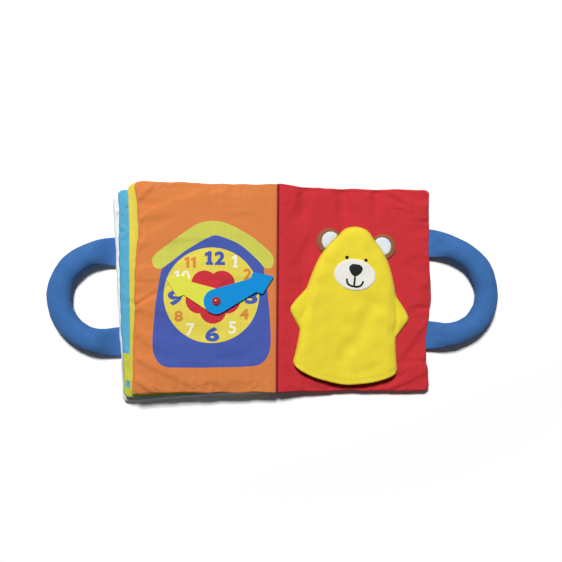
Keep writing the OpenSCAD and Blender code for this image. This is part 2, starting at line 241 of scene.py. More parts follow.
@dataclass(frozen=True)
class BrushedFleece(Finish):
    """Knitted polyester fleece, brushed to a short pile: soft, matt and a little cloudy, with a pale fuzz."""

    # The pile stands about 0.3 mm apart, drawn coarser so that it shows.
    pile_mm: float = 0.9
    cloud_mm: float = 9.0
    contrast: float = 0.10
    fuzz: float = 0.105

    def layers(self, tree: Tree, place: bpy.types.NodeSocket) -> Tuple[Sockets, Sockets]:
        """Adds the pile and its clouds.

        Args:
            tree: Node tree of the material.
            place: Socket that gives the place on the piece.

        Returns:
            The shader's settings and its links.
        """
        pile = add_node(
            tree, "ShaderNodeTexNoise", {"Scale": noise_scale(self.pile_mm), "Detail": 3.0, "Roughness": 0.7},
            {"Vector": place},
        )
        cloud = add_node(
            tree, "ShaderNodeTexNoise", {"Scale": noise_scale(self.cloud_mm), "Detail": 2.0}, {"Vector": place}
        )
        tone = add_node(
            tree, "ShaderNodeMath", {"operation": "MULTIPLY_ADD", 1: 0.6},
            {0: cloud.outputs["Fac"], 2: pile.outputs["Fac"]},
        )
        depth = add_node(
            tree, "ShaderNodeMapRange", {"From Min": 0.5, "From Max": 1.1}, {"Value": tone.outputs[0]}
        )
        dyed = add_node(
            tree, "ShaderNodeMix", self.shades(1 - self.contrast, 1 + self.contrast), {0: depth.outputs[0]}
        )
        bump = add_node(
            tree, "ShaderNodeBump", {"Strength": 0.45, "Distance": 0.3 * MM}, {"Height": pile.outputs["Fac"]}
        )
        settings = {
            "Roughness": 0.95, "IOR": 1.45, "Specular IOR Level": 0.15,
            "Sheen Weight": self.fuzz, "Sheen Roughness": 0.5,
        }
        return settings, {"Base Color": dyed.outputs[2], "Normal": bump.outputs[0]}


@dataclass(frozen=True)
class MouldedPlastic(Finish):
    """Injection-moulded polypropylene with a smooth gloss and the faint waviness of a thin moulding."""

    roughness: float = 0.42
    gloss: float = 0.15
    ripple_mm: float = 7.0
    grain_mm: float = 0.8

    def layers(self, tree: Tree, place: bpy.types.NodeSocket) -> Tuple[Sockets, Sockets]:
        """Adds the waviness and the uneven polish.

        Args:
            tree: Node tree of the material.
            place: Socket that gives the place on the piece.

        Returns:
            The shader's settings and its links.
        """
        ripple = add_node(
            tree, "ShaderNodeTexNoise", {"Scale": noise_scale(self.ripple_mm), "Detail": 1.0}, {"Vector": place}
        )
        grain = add_node(
            tree, "ShaderNodeTexNoise", {"Scale": noise_scale(self.grain_mm), "Detail": 2.0}, {"Vector": place}
        )
        polish = add_node(
            tree, "ShaderNodeMapRange", {"To Min": self.roughness * 0.85, "To Max": self.roughness * 1.25},
            {"Value": grain.outputs["Fac"]},
        )
        bump = add_node(
            tree, "ShaderNodeBump", {"Strength": 0.2, "Distance": 0.25 * MM}, {"Height": ripple.outputs["Fac"]}
        )
        tint = add_node(tree, "ShaderNodeMix", self.shades(0.97, 1.03), {0: ripple.outputs["Fac"]})
        links = {"Base Color": tint.outputs[2], "Roughness": polish.outputs[0], "Normal": bump.outputs[0]}
        return {"IOR": 1.49, "Specular IOR Level": self.gloss}, links


@dataclass(frozen=True)
class SatinStitch(Finish):
    """Polyester embroidery thread laid side by side: glossy ridges across the stitched shape, painted lighter on the
    crests and darker between them as highlight and shade.
    """

    # Thread is about 0.4 mm thick, drawn a little coarser so that it shows.
    thread_mm: float = 0.7

    def layers(self, tree: Tree, place: bpy.types.NodeSocket) -> Tuple[Sockets, Sockets]:
        """Adds the ridges of the thread.

        Args:
            tree: Node tree of the material.
            place: Socket that gives the place on the piece.

        Returns:
            The shader's settings and its links.
        """
        ridge = add_node(
            tree, "ShaderNodeTexWave",
            {"bands_direction": "DIAGONAL", "Scale": wave_scale(self.thread_mm), "Distortion": 1.5, "Detail": 1.0},
            {"Vector": place},
        )
        # Painted highlight on the ridge crests and painted shade between them.
        tint = add_node(tree, "ShaderNodeMix", self.shades(0.7, 1.4), {0: ridge.outputs["Fac"]})
        bump = add_node(
            tree, "ShaderNodeBump", {"Strength": 0.6, "Distance": 0.2 * MM}, {"Height": ridge.outputs["Fac"]}
        )
        settings = {"Roughness": 0.6, "IOR": 1.5, "Specular IOR Level": 0.15}
        return settings, {"Base Color": tint.outputs[2], "Normal": bump.outputs[0]}


ORANGE_COTTON = WovenCotton("woven_cotton_orange", "#DE8347")
YELLOW_COTTON = WovenCotton("woven_cotton_yellow", "#F0DC52")
RED_COTTON = WovenCotton("woven_cotton_red", "#CC3239")
WHITE_COTTON = WovenCotton("woven_cotton_white", "#EFEFEF", contrast=0.04)
SKY_COTTON = WovenCotton("printed_cotton_sky", "#5AAFD3")
MEADOW_COTTON = WovenCotton("printed_cotton_meadow", "#C6CC4A")
HOUSE_COTTON = WovenCotton("printed_cotton_house_blue", "#4A5DAF")
ROOF_COTTON = WovenCotton("printed_cotton_roof_lime", "#D0D158")
DIAL_COTTON = WovenCotton("printed_cotton_dial_yellow", "#E8D755")
FLOWER_COTTON = WovenCotton("printed_cotton_flower_red", "#CD333F")
WHITE_INK_COTTON = WovenCotton("printed_cotton_white_figures", "#F6F3E4", contrast=0.06)
AMBER_INK_COTTON = WovenCotton("printed_cotton_amber_figures", "#DB8C45")
# A real rolled seam, coloured dark red as painted shade: it stands in for the shadow in the gutter's fold.
SEAM_COTTON_PAINTED_SHADE = WovenCotton("rolled_cotton_seam_painted_shade", "#8E1C24")
BLUE_PLUSH = BrushedFleece("knitted_plush_blue", "#3F70AF")
YELLOW_FLEECE = BrushedFleece("brushed_fleece_yellow", "#EEDA3A", contrast=0.06)
BROWN_FLEECE = BrushedFleece("brushed_fleece_brown", "#95633F")
WHITE_FLEECE = BrushedFleece("brushed_fleece_white", "#EFEEE6", contrast=0.05)
LINING_FLEECE = BrushedFleece("brushed_fleece_ear_lining", "#E4EAF2", contrast=0.05)
BLACK_THREAD = SatinStitch("satin_stitch_black", "#161414")
BLUE_PLASTIC = MouldedPlastic("moulded_plastic_blue", "#008FD9")
LIME_PLASTIC = MouldedPlastic("moulded_plastic_lime", "#E1E24B")
RED_PLASTIC = MouldedPlastic("moulded_plastic_red", "#A80E1E", roughness=0.2, gloss=0.5)


# Mesh tools


def smooth_curve(knots: Sequence[Point], steps: int, closed: bool = True) -> Array:
    """Draws a smooth curve through knots.

    Args:
        knots: Points that the curve passes through.
        steps: Points drawn from each knot to the next.
        closed: Whether the curve runs back to its first knot.

    Returns:
        The curve's points, n by 2.
    """
    p = np.asarray(knots, float)
    n = len(p)
    t = np.arange(steps)[:, None] / steps
    points = []
    for i in range(n if closed else n - 1):
        near = [(i + k) % n if closed else min(max(i + k, 0), n - 1) for k in (-1, 0, 1, 2)]
        p0, p1, p2, p3 = (p[k] for k in near)
        points.append(
            p1 + t / 2 * ((p2 - p0) + t * ((2 * p0 - 5 * p1 + 4 * p2 - p3) + t * (3 * (p1 - p2) + p3 - p0)))
        )
    if not closed:
        points.append(p[-1:])
    return np.concatenate(points)


def oval(centre: Point, half_w: float, half_h: float, count: int) -> Loop:
    """Draws an oval as a closed loop of points."""
    a = np.arange(count) * TAU / count
    return np.stack([centre[0] + half_w * np.cos(a), centre[1] + half_h * np.sin(a)], 1)


def leaning(points: Array, centre: Point, lean_deg: float) -> Array:
    """Turns points in plan clockwise and moves them.

    Args:
        points: Points about their own middle, n by 2.
        centre: Where that middle goes.
        lean_deg: Angle in degrees.

    Returns:
        The moved points, n by 2.
    """
    c, s = math.cos(math.radians(lean_deg)), math.sin(math.radians(lean_deg))
    u, v = points[:, 0], points[:, 1]
    return np.stack([centre[0] + c * u + s * v, centre[1] - s * u + c * v], 1)


def inside(points: Array, loops: Sequence[Loop]) -> Array:
    """Tests which points lie inside closed loops, by the even-odd rule.

    Args:
        points: Points to test, n by 2.
        loops: Closed loops of points.

    Returns:
        A truth value for each point.
    """
    odd = np.zeros(len(points), bool)
    x, y = points[:, :1], points[:, 1:]
    for loop in loops:
        a, b = loop, np.roll(loop, -1, axis=0)
        spans = (a[:, 1] > y) != (b[:, 1] > y)
        rise = np.where(np.abs(b[:, 1] - a[:, 1]) < 1e-12, 1e-12, b[:, 1] - a[:, 1])
        cross = a[:, 0] + (y - a[:, 1]) / rise * (b[:, 0] - a[:, 0])
        odd ^= (np.sum(spans & (x < cross), axis=1) % 2).astype(bool)
    return odd


def distance_to(points: Array, line: Array, closed: bool = False) -> Array:
    """Measures how far points lie from a line of segments.

    Args:
        points: Points to measure from, n by 2.
        line: Points of the line.
        closed: Whether the line runs back to its start.

    Returns:
        The shortest distance for each point.
    """
    a = line if closed else line[:-1]
    b = np.roll(line, -1, axis=0) if closed else line[1:]
    run = b - a
    length = np.maximum((run ** 2).sum(1), 1e-12)
    best = np.full(len(points), np.inf)
    for i in range(len(a)):
        t = np.clip(((points - a[i]) @ run[i]) / length[i], 0, 1)
        best = np.minimum(best, np.linalg.norm(points - a[i] - t[:, None] * run[i], axis=1))
    return best


def lumps(x: Array, y: Array, size: float, seed: int, count: int = 14) -> Array:
    """Makes a smooth random relief between about -1 and 1.

    Args:
        x: First coordinate of the points.
        y: Second coordinate of the points.
        size: Typical distance from a hill to the next.
        seed: Seed of the random draw.
        count: Number of waves that are summed.

    Returns:
        The relief at each point.
    """
    draw = np.random.default_rng(seed)
    angle = draw.uniform(0, math.pi, count)
    pitch = TAU / (size * draw.uniform(0.7, 1.7, count))
    phase = draw.uniform(0, TAU, count)
    total = np.zeros(np.broadcast(x, y).shape)
    for a, k, p in zip(angle, pitch, phase):
        total = total + np.sin(k * (np.cos(a) * x + np.sin(a) * y) + p)
    return total / math.sqrt(count)


def swell(s: Array, edge: float) -> Array:
    """Rises from 0 at a sewn edge to 1 at the distance edge from it, as padding does."""
    return np.sqrt(1 - (1 - np.clip(s / edge, 0, 1)) ** 2)


def soft_min(a: Array, limit: Array, soft: Array) -> Array:
    """Keeps a below limit with a rounded change of width soft."""
    return limit - soft * np.logaddexp(0, (limit - a) / soft)


def triangulate(outline: Array, points: Array, loops: Sequence[Loop]) -> Tuple[Array, Array]:
    """Fills an outline with triangles whose edges follow inner loops.

    Args:
        outline: Closed outline, n by 2.
        points: Further points inside it.
        loops: Closed loops that triangle edges must follow.

    Returns:
        The vertices, and the triangles as rows of three counter-clockwise indices.
    """
    coords: List[Vector] = []
    edges: List[Tuple[int, int]] = []
    for loop in [outline, *loops]:
        first, n = len(coords), len(loop)
        coords += [Vector((float(p[0]), float(p[1]))) for p in loop]
        edges += [(first + i, first + (i + 1) % n) for i in range(n)]
    coords += [Vector((float(p[0]), float(p[1]))) for p in points]
    made = delaunay_2d_cdt(coords, edges, [], 0, 1e-4)
    verts = np.array([tuple(v) for v in made[0]])
    faces = np.array([f for f in made[2] if len(f) == 3])
    middle = verts[faces].mean(axis=1)
    faces = faces[inside(middle, [outline])]
    a, b, c = (verts[faces[:, k]] for k in range(3))
    flip = (b - a)[:, 0] * (c - a)[:, 1] - (b - a)[:, 1] * (c - a)[:, 0] < 0
    faces[flip] = faces[flip][:, ::-1]
    return verts, faces


def grid_faces(grid: Array) -> List[Face]:
    """Lists the faces of a numbered grid of points."""
    corners = [grid[:-1, :-1], grid[1:, :-1], grid[1:, 1:], grid[:-1, 1:]]
    return [tuple(f) for f in np.stack(corners, -1).reshape(-1, 4).tolist()]


def tube_faces(rings: int, sides: int) -> List[Face]:
    """Lists the faces of a tube of rings of points, closed at both ends.

    Args:
        rings: Number of rings.
        sides: Points in each ring.

    Returns:
        The faces.
    """
    number = np.arange(rings * sides).reshape(rings, sides)
    walls = grid_faces(np.concatenate([number, number[:, :1]], 1))
    return walls + [tuple(number[0].tolist()), tuple(number[-1].tolist())]


def border(faces: Sequence[Sequence[int]]) -> List[Tuple[int, int]]:
    """Lists the edges that only one face has, in the direction of that face."""
    used = dict.fromkeys((f[k - 1], f[k]) for f in faces for k in range(len(f)))
    return [(a, b) for a, b in used if (b, a) not in used]


def slab_faces(faces: Sequence[Sequence[int]], n: int) -> List[Sequence[int]]:
    """Lists the faces of a sheet, of its copy n points further on, and of the walls between their borders."""
    walls = [(b, a, a + n, b + n) for a, b in border(faces)]
    return [*faces, *([i + n for i in f[::-1]] for f in faces), *walls]


def mesh_object(name: str, verts: Array, faces: Sequence[Sequence[int]]) -> Piece:
    """Makes a mesh object and links it to the scene.

    Args:
        name: Name of the object and of its mesh.
        verts: Points, n by 3, in millimetres.
        faces: Faces as rows of indices.

    Returns:
        The new object.
    """
    mesh = bpy.data.meshes.new(name)
    mesh.from_pydata((np.asarray(verts, float) * MM).tolist(), [], [tuple(int(i) for i in f) for f in faces])
    made = bpy.data.objects.new(name, mesh)
    bpy.context.scene.collection.objects.link(made)
    return made


def make_piece(
    name: str, verts: Array, faces: Sequence[Sequence[int]], finishes: Sequence[Finish],
    painted: Optional[Sequence[int]] = None, weld: float = 0.0,
) -> Piece:
    """Makes a clean, smooth-shaded piece.

    Args:
        name: Name of the piece.
        verts: Points, n by 3, in millimetres.
        faces: Faces as rows of indices.
        finishes: Finishes of the piece.
        painted: Number of the finish of each face, all 0 if left out.
        weld: Distance in millimetres within which points are joined.

    Returns:
        The new piece.
    """
    piece = mesh_object(name, verts, faces)
    mesh = piece.data
    for finish in finishes:
        mesh.materials.append(finish.material())
    if painted is not None:
        mesh.polygons.foreach_set("material_index", np.asarray(painted, np.int32))
    work = bmesh.new()
    work.from_mesh(mesh)
    if weld:
        bmesh.ops.remove_doubles(work, verts=work.verts, dist=weld * MM)
    bmesh.ops.dissolve_degenerate(work, edges=work.edges, dist=1e-7)
    loose = [v for v in work.verts if not v.link_faces]
    bmesh.ops.delete(work, geom=loose, context="VERTS")
    bmesh.ops.recalc_face_normals(work, faces=work.faces)
    for face in work.faces:
        face.smooth = True
    work.to_mesh(mesh)
    work.free()
    mesh.update()
    return piece


def slab(name: str, plan: Array, faces: Sequence[Sequence[int]], top: Array, bottom: Array, finish: Finish) -> Piece:
    """Makes a piece of a sheet in plan, with a height above and one below each of its points.

    Args:
        name: Name of the piece.
        plan: Points in plan, n by 2.
        faces: Faces of the sheet.
        top: Height of the upper side at each point.
        bottom: Height of the lower side at each point.
        finish: Its finish.

    Returns:
        The new piece.
    """
    verts = np.concatenate([np.c_[plan, top], np.c_[plan, bottom]])
    return make_piece(name, verts, slab_faces(faces, len(plan)), [finish])


def settle(piece: Piece, body: str, nodes: Sequence[str]) -> Piece:
    """Hangs a piece on its body and hides the solids that it stands for.

    Args:
        piece: The piece.
        body: Body that it moves with.
        nodes: Nodes that it replaces.

    Returns:
        The same piece.
    """
    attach(piece, body)
    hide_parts(*nodes)
    log.info("%s: %d faces on %s", piece.name, len(piece.data.polygons), body)
    return piece


def surface_of(piece: Piece) -> Surface:
    """Makes a function that finds a piece's upper surface.

    Args:
        piece: Mesh piece at rest.

    Returns:
        A function from points in plan to heights, both in millimetres.
    """
    mesh = piece.data
    tree = BVHTree.FromPolygons([v.co for v in mesh.vertices], [tuple(p.vertices) for p in mesh.polygons])
    down = Vector((0, 0, -1))

    def height(points: Array) -> Array:
        """Looks down on the piece at each point.

        Args:
            points: Points in plan.

        Returns:
            The height at each point, or the mean height off the piece.
        """
        hits = [tree.ray_cast(Vector((p[0] * MM, p[1] * MM, 1.0)), down)[0] for p in points]
        found = np.array([hit.z / MM if hit else math.nan for hit in hits])
        return np.where(np.isnan(found), np.nanmean(found), found)

    return height


def puff(verts: Array, faces: Sequence[Sequence[int]], pinned: Sequence[int], growth: float) -> Array:
    """Blows a sewn case up by a cloth simulation, so that its cloth buckles between its seams.

    Args:
        verts: Points in millimetres.
        faces: Faces of the case.
        pinned: Points held by the seams.
        growth: Share by which the cloth is larger than the case.

    Returns:
        The points after the simulation, in millimetres.
    """
    last_frame = 20
    case = mesh_object("case", verts, faces)
    mesh = case.data
    scene = bpy.context.scene
    case.vertex_groups.new(name="seams").add([int(i) for i in pinned], 1.0, "REPLACE")
    cloth = case.modifiers.new("Cloth", "CLOTH")
    for key, value in {
        "quality": 4, "mass": 0.15, "tension_stiffness": 15, "compression_stiffness": 15, "shear_stiffness": 5,
        "bending_stiffness": 1.5, "vertex_group_mass": "seams", "use_pressure": True, "uniform_pressure_force": 4,
        "shrink_min": -growth,
    }.items():
        setattr(cloth.settings, key, value)
    cloth.settings.effector_weights.gravity = 0
    cloth.collision_settings.use_collision = False
    for number in range(1, last_frame + 1):
        scene.frame_set(number)
    settled = case.evaluated_get(bpy.context.evaluated_depsgraph_get()).to_mesh()
    out = np.empty(len(verts) * 3)
    settled.vertices.foreach_get("co", out)
    scene.frame_set(1)
    bpy.data.objects.remove(case)
    bpy.data.meshes.remove(mesh)
    return out.reshape(-1, 3) / MM


# The book


@dataclass(frozen=True)
class BookSizes:
    """Sizes of the book in millimetres, as in the part's source."""

    cover_w: float = 164.0
    cover_h: float = 216.0
    cover_t: float = 12.0
    corner_r: float = 6.0
    edge_w: float = 16.0
    crown: float = 0.1
    seam_z: float = 22.0
    seam_r: float = 1.1
    inner_d: float = 1.1
    lift_len: float = 70.0
    fatten_len: float = 60.0
    leaf_t: float = 13.0
    leaf_gap: float = 0.4

    @property
    def stack_h(self) -> float:
        """Height of the left-hand stack at the fore-edge."""
        return self.cover_t + 2 * self.leaf_t

    def under_z(self, d: Array) -> Array:
        """Underside of an open cover at distance d from the seam."""
        return np.where(d < self.lift_len, self.seam_z * (1 - d / self.lift_len) ** 2, 0.0)

    def stack_z(self, d: Array) -> Array:
        """Top of the left-hand stack."""
        return self.seam_z + (self.stack_h - self.seam_z) * d / self.cover_w

    def level_z(self, share: float, d: Array) -> Array:
        """Height at a share of the left-hand stack."""
        return self.under_z(d) + share * (self.stack_z(d) - self.under_z(d))

    def back_z(self, d: Array) -> Array:
        """Top of the right-hand cover."""
        return self.under_z(d) + self.cover_t * (1 - (1 - np.minimum(1, d / self.fatten_len)) ** 2)

    def gutter(self, d: Array) -> Array:
        """Depth by which the pads roll down into the gutter."""
        return 1.2 * np.exp(-(d - self.inner_d) / 2.5)


BOOK = BookSizes()


class Edge(Enum):
    """Sewn edges of a page."""

    FORE = "fore"
    HEAD = "head"
    FOOT = "foot"


@dataclass(frozen=True)
class Tuck:
    """A pucker in the cloth that runs in from a sewn edge, in millimetres."""

    edge: Edge
    at: float
    width: float
    reach: float
    depth: float
    pull: float = 0.0
    slant: float = 0.0


def random_tucks(seed: int, spacing: float = 17.0, depth: float = 0.55) -> List[Tuck]:
    """Scatters small puckers along the three free edges of a page.

    Args:
        seed: Seed of the random draw.
        spacing: Mean distance from one to the next.
        depth: Mean depth.

    Returns:
        The puckers.
    """
    draw = np.random.default_rng(seed)
    tucks = []
    for edge, first, last in ((Edge.FORE, -100, 100), (Edge.HEAD, 10, 150), (Edge.FOOT, 10, 150)):
        at = first + spacing * draw.uniform(0.2, 1)
        while at < last:
            tucks.append(
                Tuck(
                    edge, at, draw.uniform(1.6, 4.2), draw.uniform(5, 20),
                    depth * draw.uniform(0.4, 1.6), draw.uniform(0.1, 0.7),
                )
            )
            at += spacing * draw.uniform(0.5, 1.5)
    return tucks


@dataclass
class PrintedField:
    """A field of one colour on the cloth, bounded by closed loops in page millimetres."""

    finish: Finish
    loops: List[Loop]


@dataclass
class PaddedPanel:
    """A padded cloth page: two pieces of cloth sewn together round the edge and filled.

    Its points are first laid out flat, by distance d from the spine seam and height y up the page.
    """

    name: str
    body: str
    slot: str
    nodes: Tuple[str, ...]
    side: int
    width: float
    low: Surface
    high: Surface
    face: Finish
    underside: Finish
    seed: int
    lay_deg: float = 0.0
    shift_y: float = 0.0
    seam_rise: float = 0.0
    overhang: float = 0.0
    overhang_lean: float = 0.0
    foot_overhang: float = 0.0
    head_rise: Tuple[float, float, float] = (0.0, 0.0, 0.0)
    fill: float = 0.7
    growth: float = 0.035
    wrinkle: float = 0.9
    lump: float = 0.5
    tucks: List[Tuck] = field(default_factory=list)
    fields: List[PrintedField] = field(default_factory=list)
    across: int = 50
    along: int = 72
    # The finished grid is this many times as close as the simulated one.
    fine: int = 2
    bunching: float = 0.4
    bulge: float = 1.85
    corner_ease: float = 10.0
    lump_mm: float = 30.0
    bank: float = 0.45
    lip_mm: float = 2.5
    pull_reach: float = 8.0
    wave_reach: float = 20.0
    fore_wave: float = 0.45
    end_wave: float = 0.35

    def bunched(self, t: Array) -> Array:
        """Spaces even steps closer together at both ends."""
        return t - self.bunching * np.sin(TAU * t) / TAU

    def fore_d(self, y: Array) -> Array:
        """Fore-edge of the page at height y, with its corners rounded."""
        past = np.maximum(0, np.abs(y) - (BOOK.cover_h / 2 - BOOK.corner_r))
        return self.width - BOOK.corner_r + np.sqrt(np.maximum(0, BOOK.corner_r ** 2 - past ** 2))

    def flat(self, u: Array, v: Array) -> Tuple[Array, Array]:
        """Lays steps u and v, from 0 to 1, out on the flat page as distances d and heights y."""
        y = BOOK.cover_h * (self.bunched(v) - 0.5)
        return BOOK.inner_d + (self.fore_d(y) - BOOK.inner_d) * self.bunched(u), y

    def steps_at(self, d: Array, y: Array) -> Tuple[Array, Array]:
        """Finds the steps u and v of points on the flat page.

        Args:
            d: Distances from the seam.
            y: Heights up the page.

        Returns:
            The steps u and v.
        """
        even = np.linspace(0, 1, 2001)
        v = np.interp(y / BOOK.cover_h + 0.5, self.bunched(even), even)
        share = (d - BOOK.inner_d) / (self.fore_d(y) - BOOK.inner_d)
        return np.interp(share, self.bunched(even), even), v

    def cells(self, grid: Array) -> List[Face]:
        """Lists the faces of a numbered grid, its two outer corner faces split towards the middle of the page.

        Args:
            grid: Numbers of the points, across by along.

        Returns:
            The faces.
        """
        faces, row = grid_faces(grid), grid.shape[1] - 1
        foot, head = faces[-row], faces[-1]
        faces[-row], faces[-1] = (foot[0], foot[1], foot[3]), head[:3]
        return faces + [foot[1:], (head[0], head[2], head[3])]

    def case(self, top: Array, under: Array) -> Tuple[List[Face], ...]:
        """Joins numbered grids into a closed case.

        Args:
            top: Numbers of the top's grid.
            under: Numbers of the underside's grid.

        Returns:
            Faces of the top, of the underside and of the spine.
        """
        spine = np.stack([top[0, :-1], top[0, 1:], under[0, 1:], under[0, :-1]], -1).tolist()
        backing = [face[::-1] for face in self.cells(under)]
        return self.cells(top), backing, [tuple(dict.fromkeys(face)) for face in spine]

    def numbered(self, nu: int, nv: int) -> Tuple[Array, Array, Array]:
        """Numbers the points of a case whose top and underside share their sewn edge.

        Args:
            nu: Steps across.
            nv: Steps along.

        Returns:
            Numbers of the top's grid, numbers of the underside's grid, and which grid points the underside
            has for itself.
        """
        top = np.arange((nu + 1) * (nv + 1)).reshape(nu + 1, nv + 1)
        own = np.zeros(top.shape, bool)
        own[:-1, 1:-1] = True
        under = top.copy()
        under[own] = top.size + np.arange(own.sum())
        return top, under, own

    def steps(self, fine: int) -> Tuple[Array, Array]:
        """Makes the steps u and v of a grid that is fine times as close as the simulated one."""
        across, along = (np.linspace(0, 1, fine * count + 1) for count in (self.across, self.along))
        return tuple(np.meshgrid(across, along, indexing="ij"))

    def base(self, fine: int) -> Tuple[Array, Array, Array, Array, Array]:
        """Shapes the filled page before its cloth wrinkles.

        Args:
            fine: How many times as close as the simulated grid.

        Returns:
            The top's points, the underside's points, the flat d and y, and the share of full padding.
        """
        u, v = self.steps(fine)
        d, y = self.flat(u, v)
        fore_gap, end_gap = self.fore_d(y) - d, BOOK.cover_h / 2 - np.abs(y)
        full = swell(fore_gap, BOOK.edge_w) * swell(end_gap, BOOK.edge_w)
        crowned = full * (1 - BOOK.crown * (2 * y / BOOK.cover_h) ** 2)
        low, high = self.low(d), self.high(d)
        middle, half = (high + low) / 2, (high - low) / 2
        rise = self.seam_rise
        top_z = middle + half * (rise + (1 - rise) * crowned)
        under_z = middle + half * (rise - (1 + rise) * crowned)
        out_d = self.bulge * self.overhang * np.sin(math.pi * np.clip(fore_gap / BOOK.edge_w, 0, 1) ** 0.6)
        out_d = out_d * (1 + self.overhang_lean * 2 * y / BOOK.cover_h)
        foot_gap = np.clip((BOOK.cover_h / 2 + y) / BOOK.edge_w, 0, 1)
        out_y = self.bulge * self.foot_overhang * np.sin(math.pi * foot_gap ** 0.6) * (d / self.width) ** 2
        under_d = d + out_d * swell(end_gap, self.corner_ease)
        under_y = y - out_y * swell(fore_gap, self.corner_ease)
        return np.stack([d, y, top_z], -1), np.stack([under_d, under_y, under_z], -1), d, y, full

    def wrinkled(self) -> Tuple[Array, Array]:
        """Runs the cloth simulation on a coarse case and keeps the wrinkles that it makes.

        Returns:
            Wrinkle heights of the top and of the underside on the fine grid.
        """
        top, under, _, _, full = self.base(1)
        numbers, under_numbers, own = self.numbered(self.across, self.along)
        verts = np.concatenate([top.reshape(-1, 3), under[own]])
        pinned = np.concatenate([numbers[~own], numbers[0], under_numbers[0]])
        moved = puff(verts, sum(self.case(numbers, under_numbers), []), np.unique(pinned), self.growth)
        heights = []
        for grid in (numbers, under_numbers):
            rise = (moved - verts)[grid][..., 2]
            fine = rise - blurred(rise, 4)
            heights.append(self.wrinkle * np.tanh(fine / self.wrinkle) * np.clip(full * 1.2, 0, 1))
        u, v = self.steps(self.fine)
        out = sampled(np.stack([*heights, full], -1), u.ravel(), v.ravel())
        return out[:, 0].reshape(u.shape), out[:, 1].reshape(u.shape)

    def tucked(self, d: Array, y: Array) -> Tuple[Array, Array, Array]:
        """Sums the puckers.

        Args:
            d: Distances from the seam.
            y: Heights up the page.

        Returns:
            Depth of the puckers, and how far they and the wavy edge pull the cloth in along d and along y.
        """
        deep, pull_d, pull_y = (np.zeros(d.shape) for _ in range(3))
        half = BOOK.cover_h / 2
        for tuck in self.tucks:
            if tuck.edge is Edge.FORE:
                gap, run = self.fore_d(y) - d, y - tuck.at
            else:
                gap, run = (half - y, d - tuck.at) if tuck.edge is Edge.HEAD else (half + y, d - tuck.at)
            run = run - tuck.slant * np.maximum(gap, 0)
            ridge = np.exp(-(run / tuck.width) ** 2) * np.exp(-np.maximum(gap, 0) / tuck.reach)
            bank = self.bank * np.exp(-((np.abs(run) - 2.2 * tuck.width) / tuck.width) ** 2)
            bank = bank * np.exp(-np.maximum(gap, 0) / tuck.reach)
            deep += tuck.depth * (ridge - bank) * np.clip(gap / self.lip_mm, 0, 1)
            pull = tuck.pull * np.exp(-(run / (2 * tuck.width)) ** 2) * np.exp(-np.maximum(gap, 0) / self.pull_reach)
            if tuck.edge is Edge.FORE:
                pull_d += pull
            else:
                pull_y += pull if tuck.edge is Edge.HEAD else -pull
        near_fore = np.exp(-(self.fore_d(y) - d) / self.wave_reach)
        near_end = np.exp(-(half - np.abs(y)) / self.wave_reach) * np.sign(y)
        pull_d += self.fore_wave * lumps(y, 0 * y, 38, self.seed + 5) * near_fore
        pull_y += self.end_wave * lumps(d, y * 0.2, 34, self.seed + 6) * near_end
        return deep, pull_d, pull_y

    def shaped(self) -> Tuple[Array, Array]:
        """Makes the page's shape.

        Returns:
            Its top and its underside as grids of points in the book's frame.
        """
        top, under, d, y, full = self.base(self.fine)
        creases = self.wrinkled()
        deep, pull_d, pull_y = self.tucked(d, y)
        sag = self.lump * (lumps(d, y, self.lump_mm, self.seed + 1) - 1) * full
        half = np.maximum(0, (self.high(d) - self.low(d)) / 2)
        give = np.clip(half / 5, 0, 1)
        top[..., 2] += give * (creases[0] + sag - deep)
        under[..., 2] += give * (creases[1] - sag * 0.5 + deep * 0.6)
        soft = 0.12 * np.clip(half / 3, 0.02, 1)
        top[..., 2] = np.where(full > 0.02, soft_min(top[..., 2], self.high(d), soft), top[..., 2])
        under[..., 2] = np.where(full > 0.02, -soft_min(-under[..., 2], -self.low(d), soft), under[..., 2])
        near_head = (y / BOOK.cover_h + 0.5) ** 3
        rise = np.interp(d, (0, 40, self.width), self.head_rise) * near_head
        for grid, slack in ((top, 1.0), (under, 0.3 if self.overhang else 1.0)):
            grid[..., 0] -= slack * pull_d * np.clip(d / 20, 0, 1)
            grid[..., 1] -= pull_y - rise
            grid[..., 2] -= BOOK.gutter(d)
        under[-1, :], under[:, 0], under[:, -1] = top[-1, :], top[:, 0], top[:, -1]
        return self.laid(top), self.laid(under)

    def laid(self, points: Array) -> Array:
        """Lays points askew by the page's angle, more towards the fore-edge, and puts them on their side.

        Args:
            points: Points by distance from the seam, height up the page and height.

        Returns:
            The points in the book's frame.
        """
        angle = math.radians(self.lay_deg)
        d, y = points[..., 0], points[..., 1]
        share = d / BOOK.cover_w
        out = points.copy()
        out[..., 0] = self.side * (d * math.cos(angle) + y * math.sin(angle) * share)
        out[..., 1] = y * (1 - share + share * math.cos(angle)) - d * math.sin(angle) + self.shift_y * share
        return out

    def build(self) -> Piece:
        """Builds the page and hangs it on its body.

        Returns:
            The page.
        """
        top, under = self.shaped()
        numbers, under_numbers, own = self.numbered(self.fine * self.across, self.fine * self.along)
        fronts, backing, spine = self.case(numbers, under_numbers)
        inks = [0] * len(fronts)
        verts = np.concatenate([top.reshape(-1, 3), under[own]])
        finishes: List[Finish] = [self.face, self.underside, *(f.finish for f in self.fields)]
        if self.fields:
            print_verts, fronts, inks = self.printed(top)
            fronts = [tuple(f) for f in (fronts + len(verts)).tolist()]
            verts = np.concatenate([verts, print_verts])
        painted = list(inks) + [1] * len(backing) + [0] * len(spine)
        piece = make_piece(self.name, verts, fronts + backing + spine, finishes, painted, weld=0.01)
        return settle(piece, self.body, self.nodes)

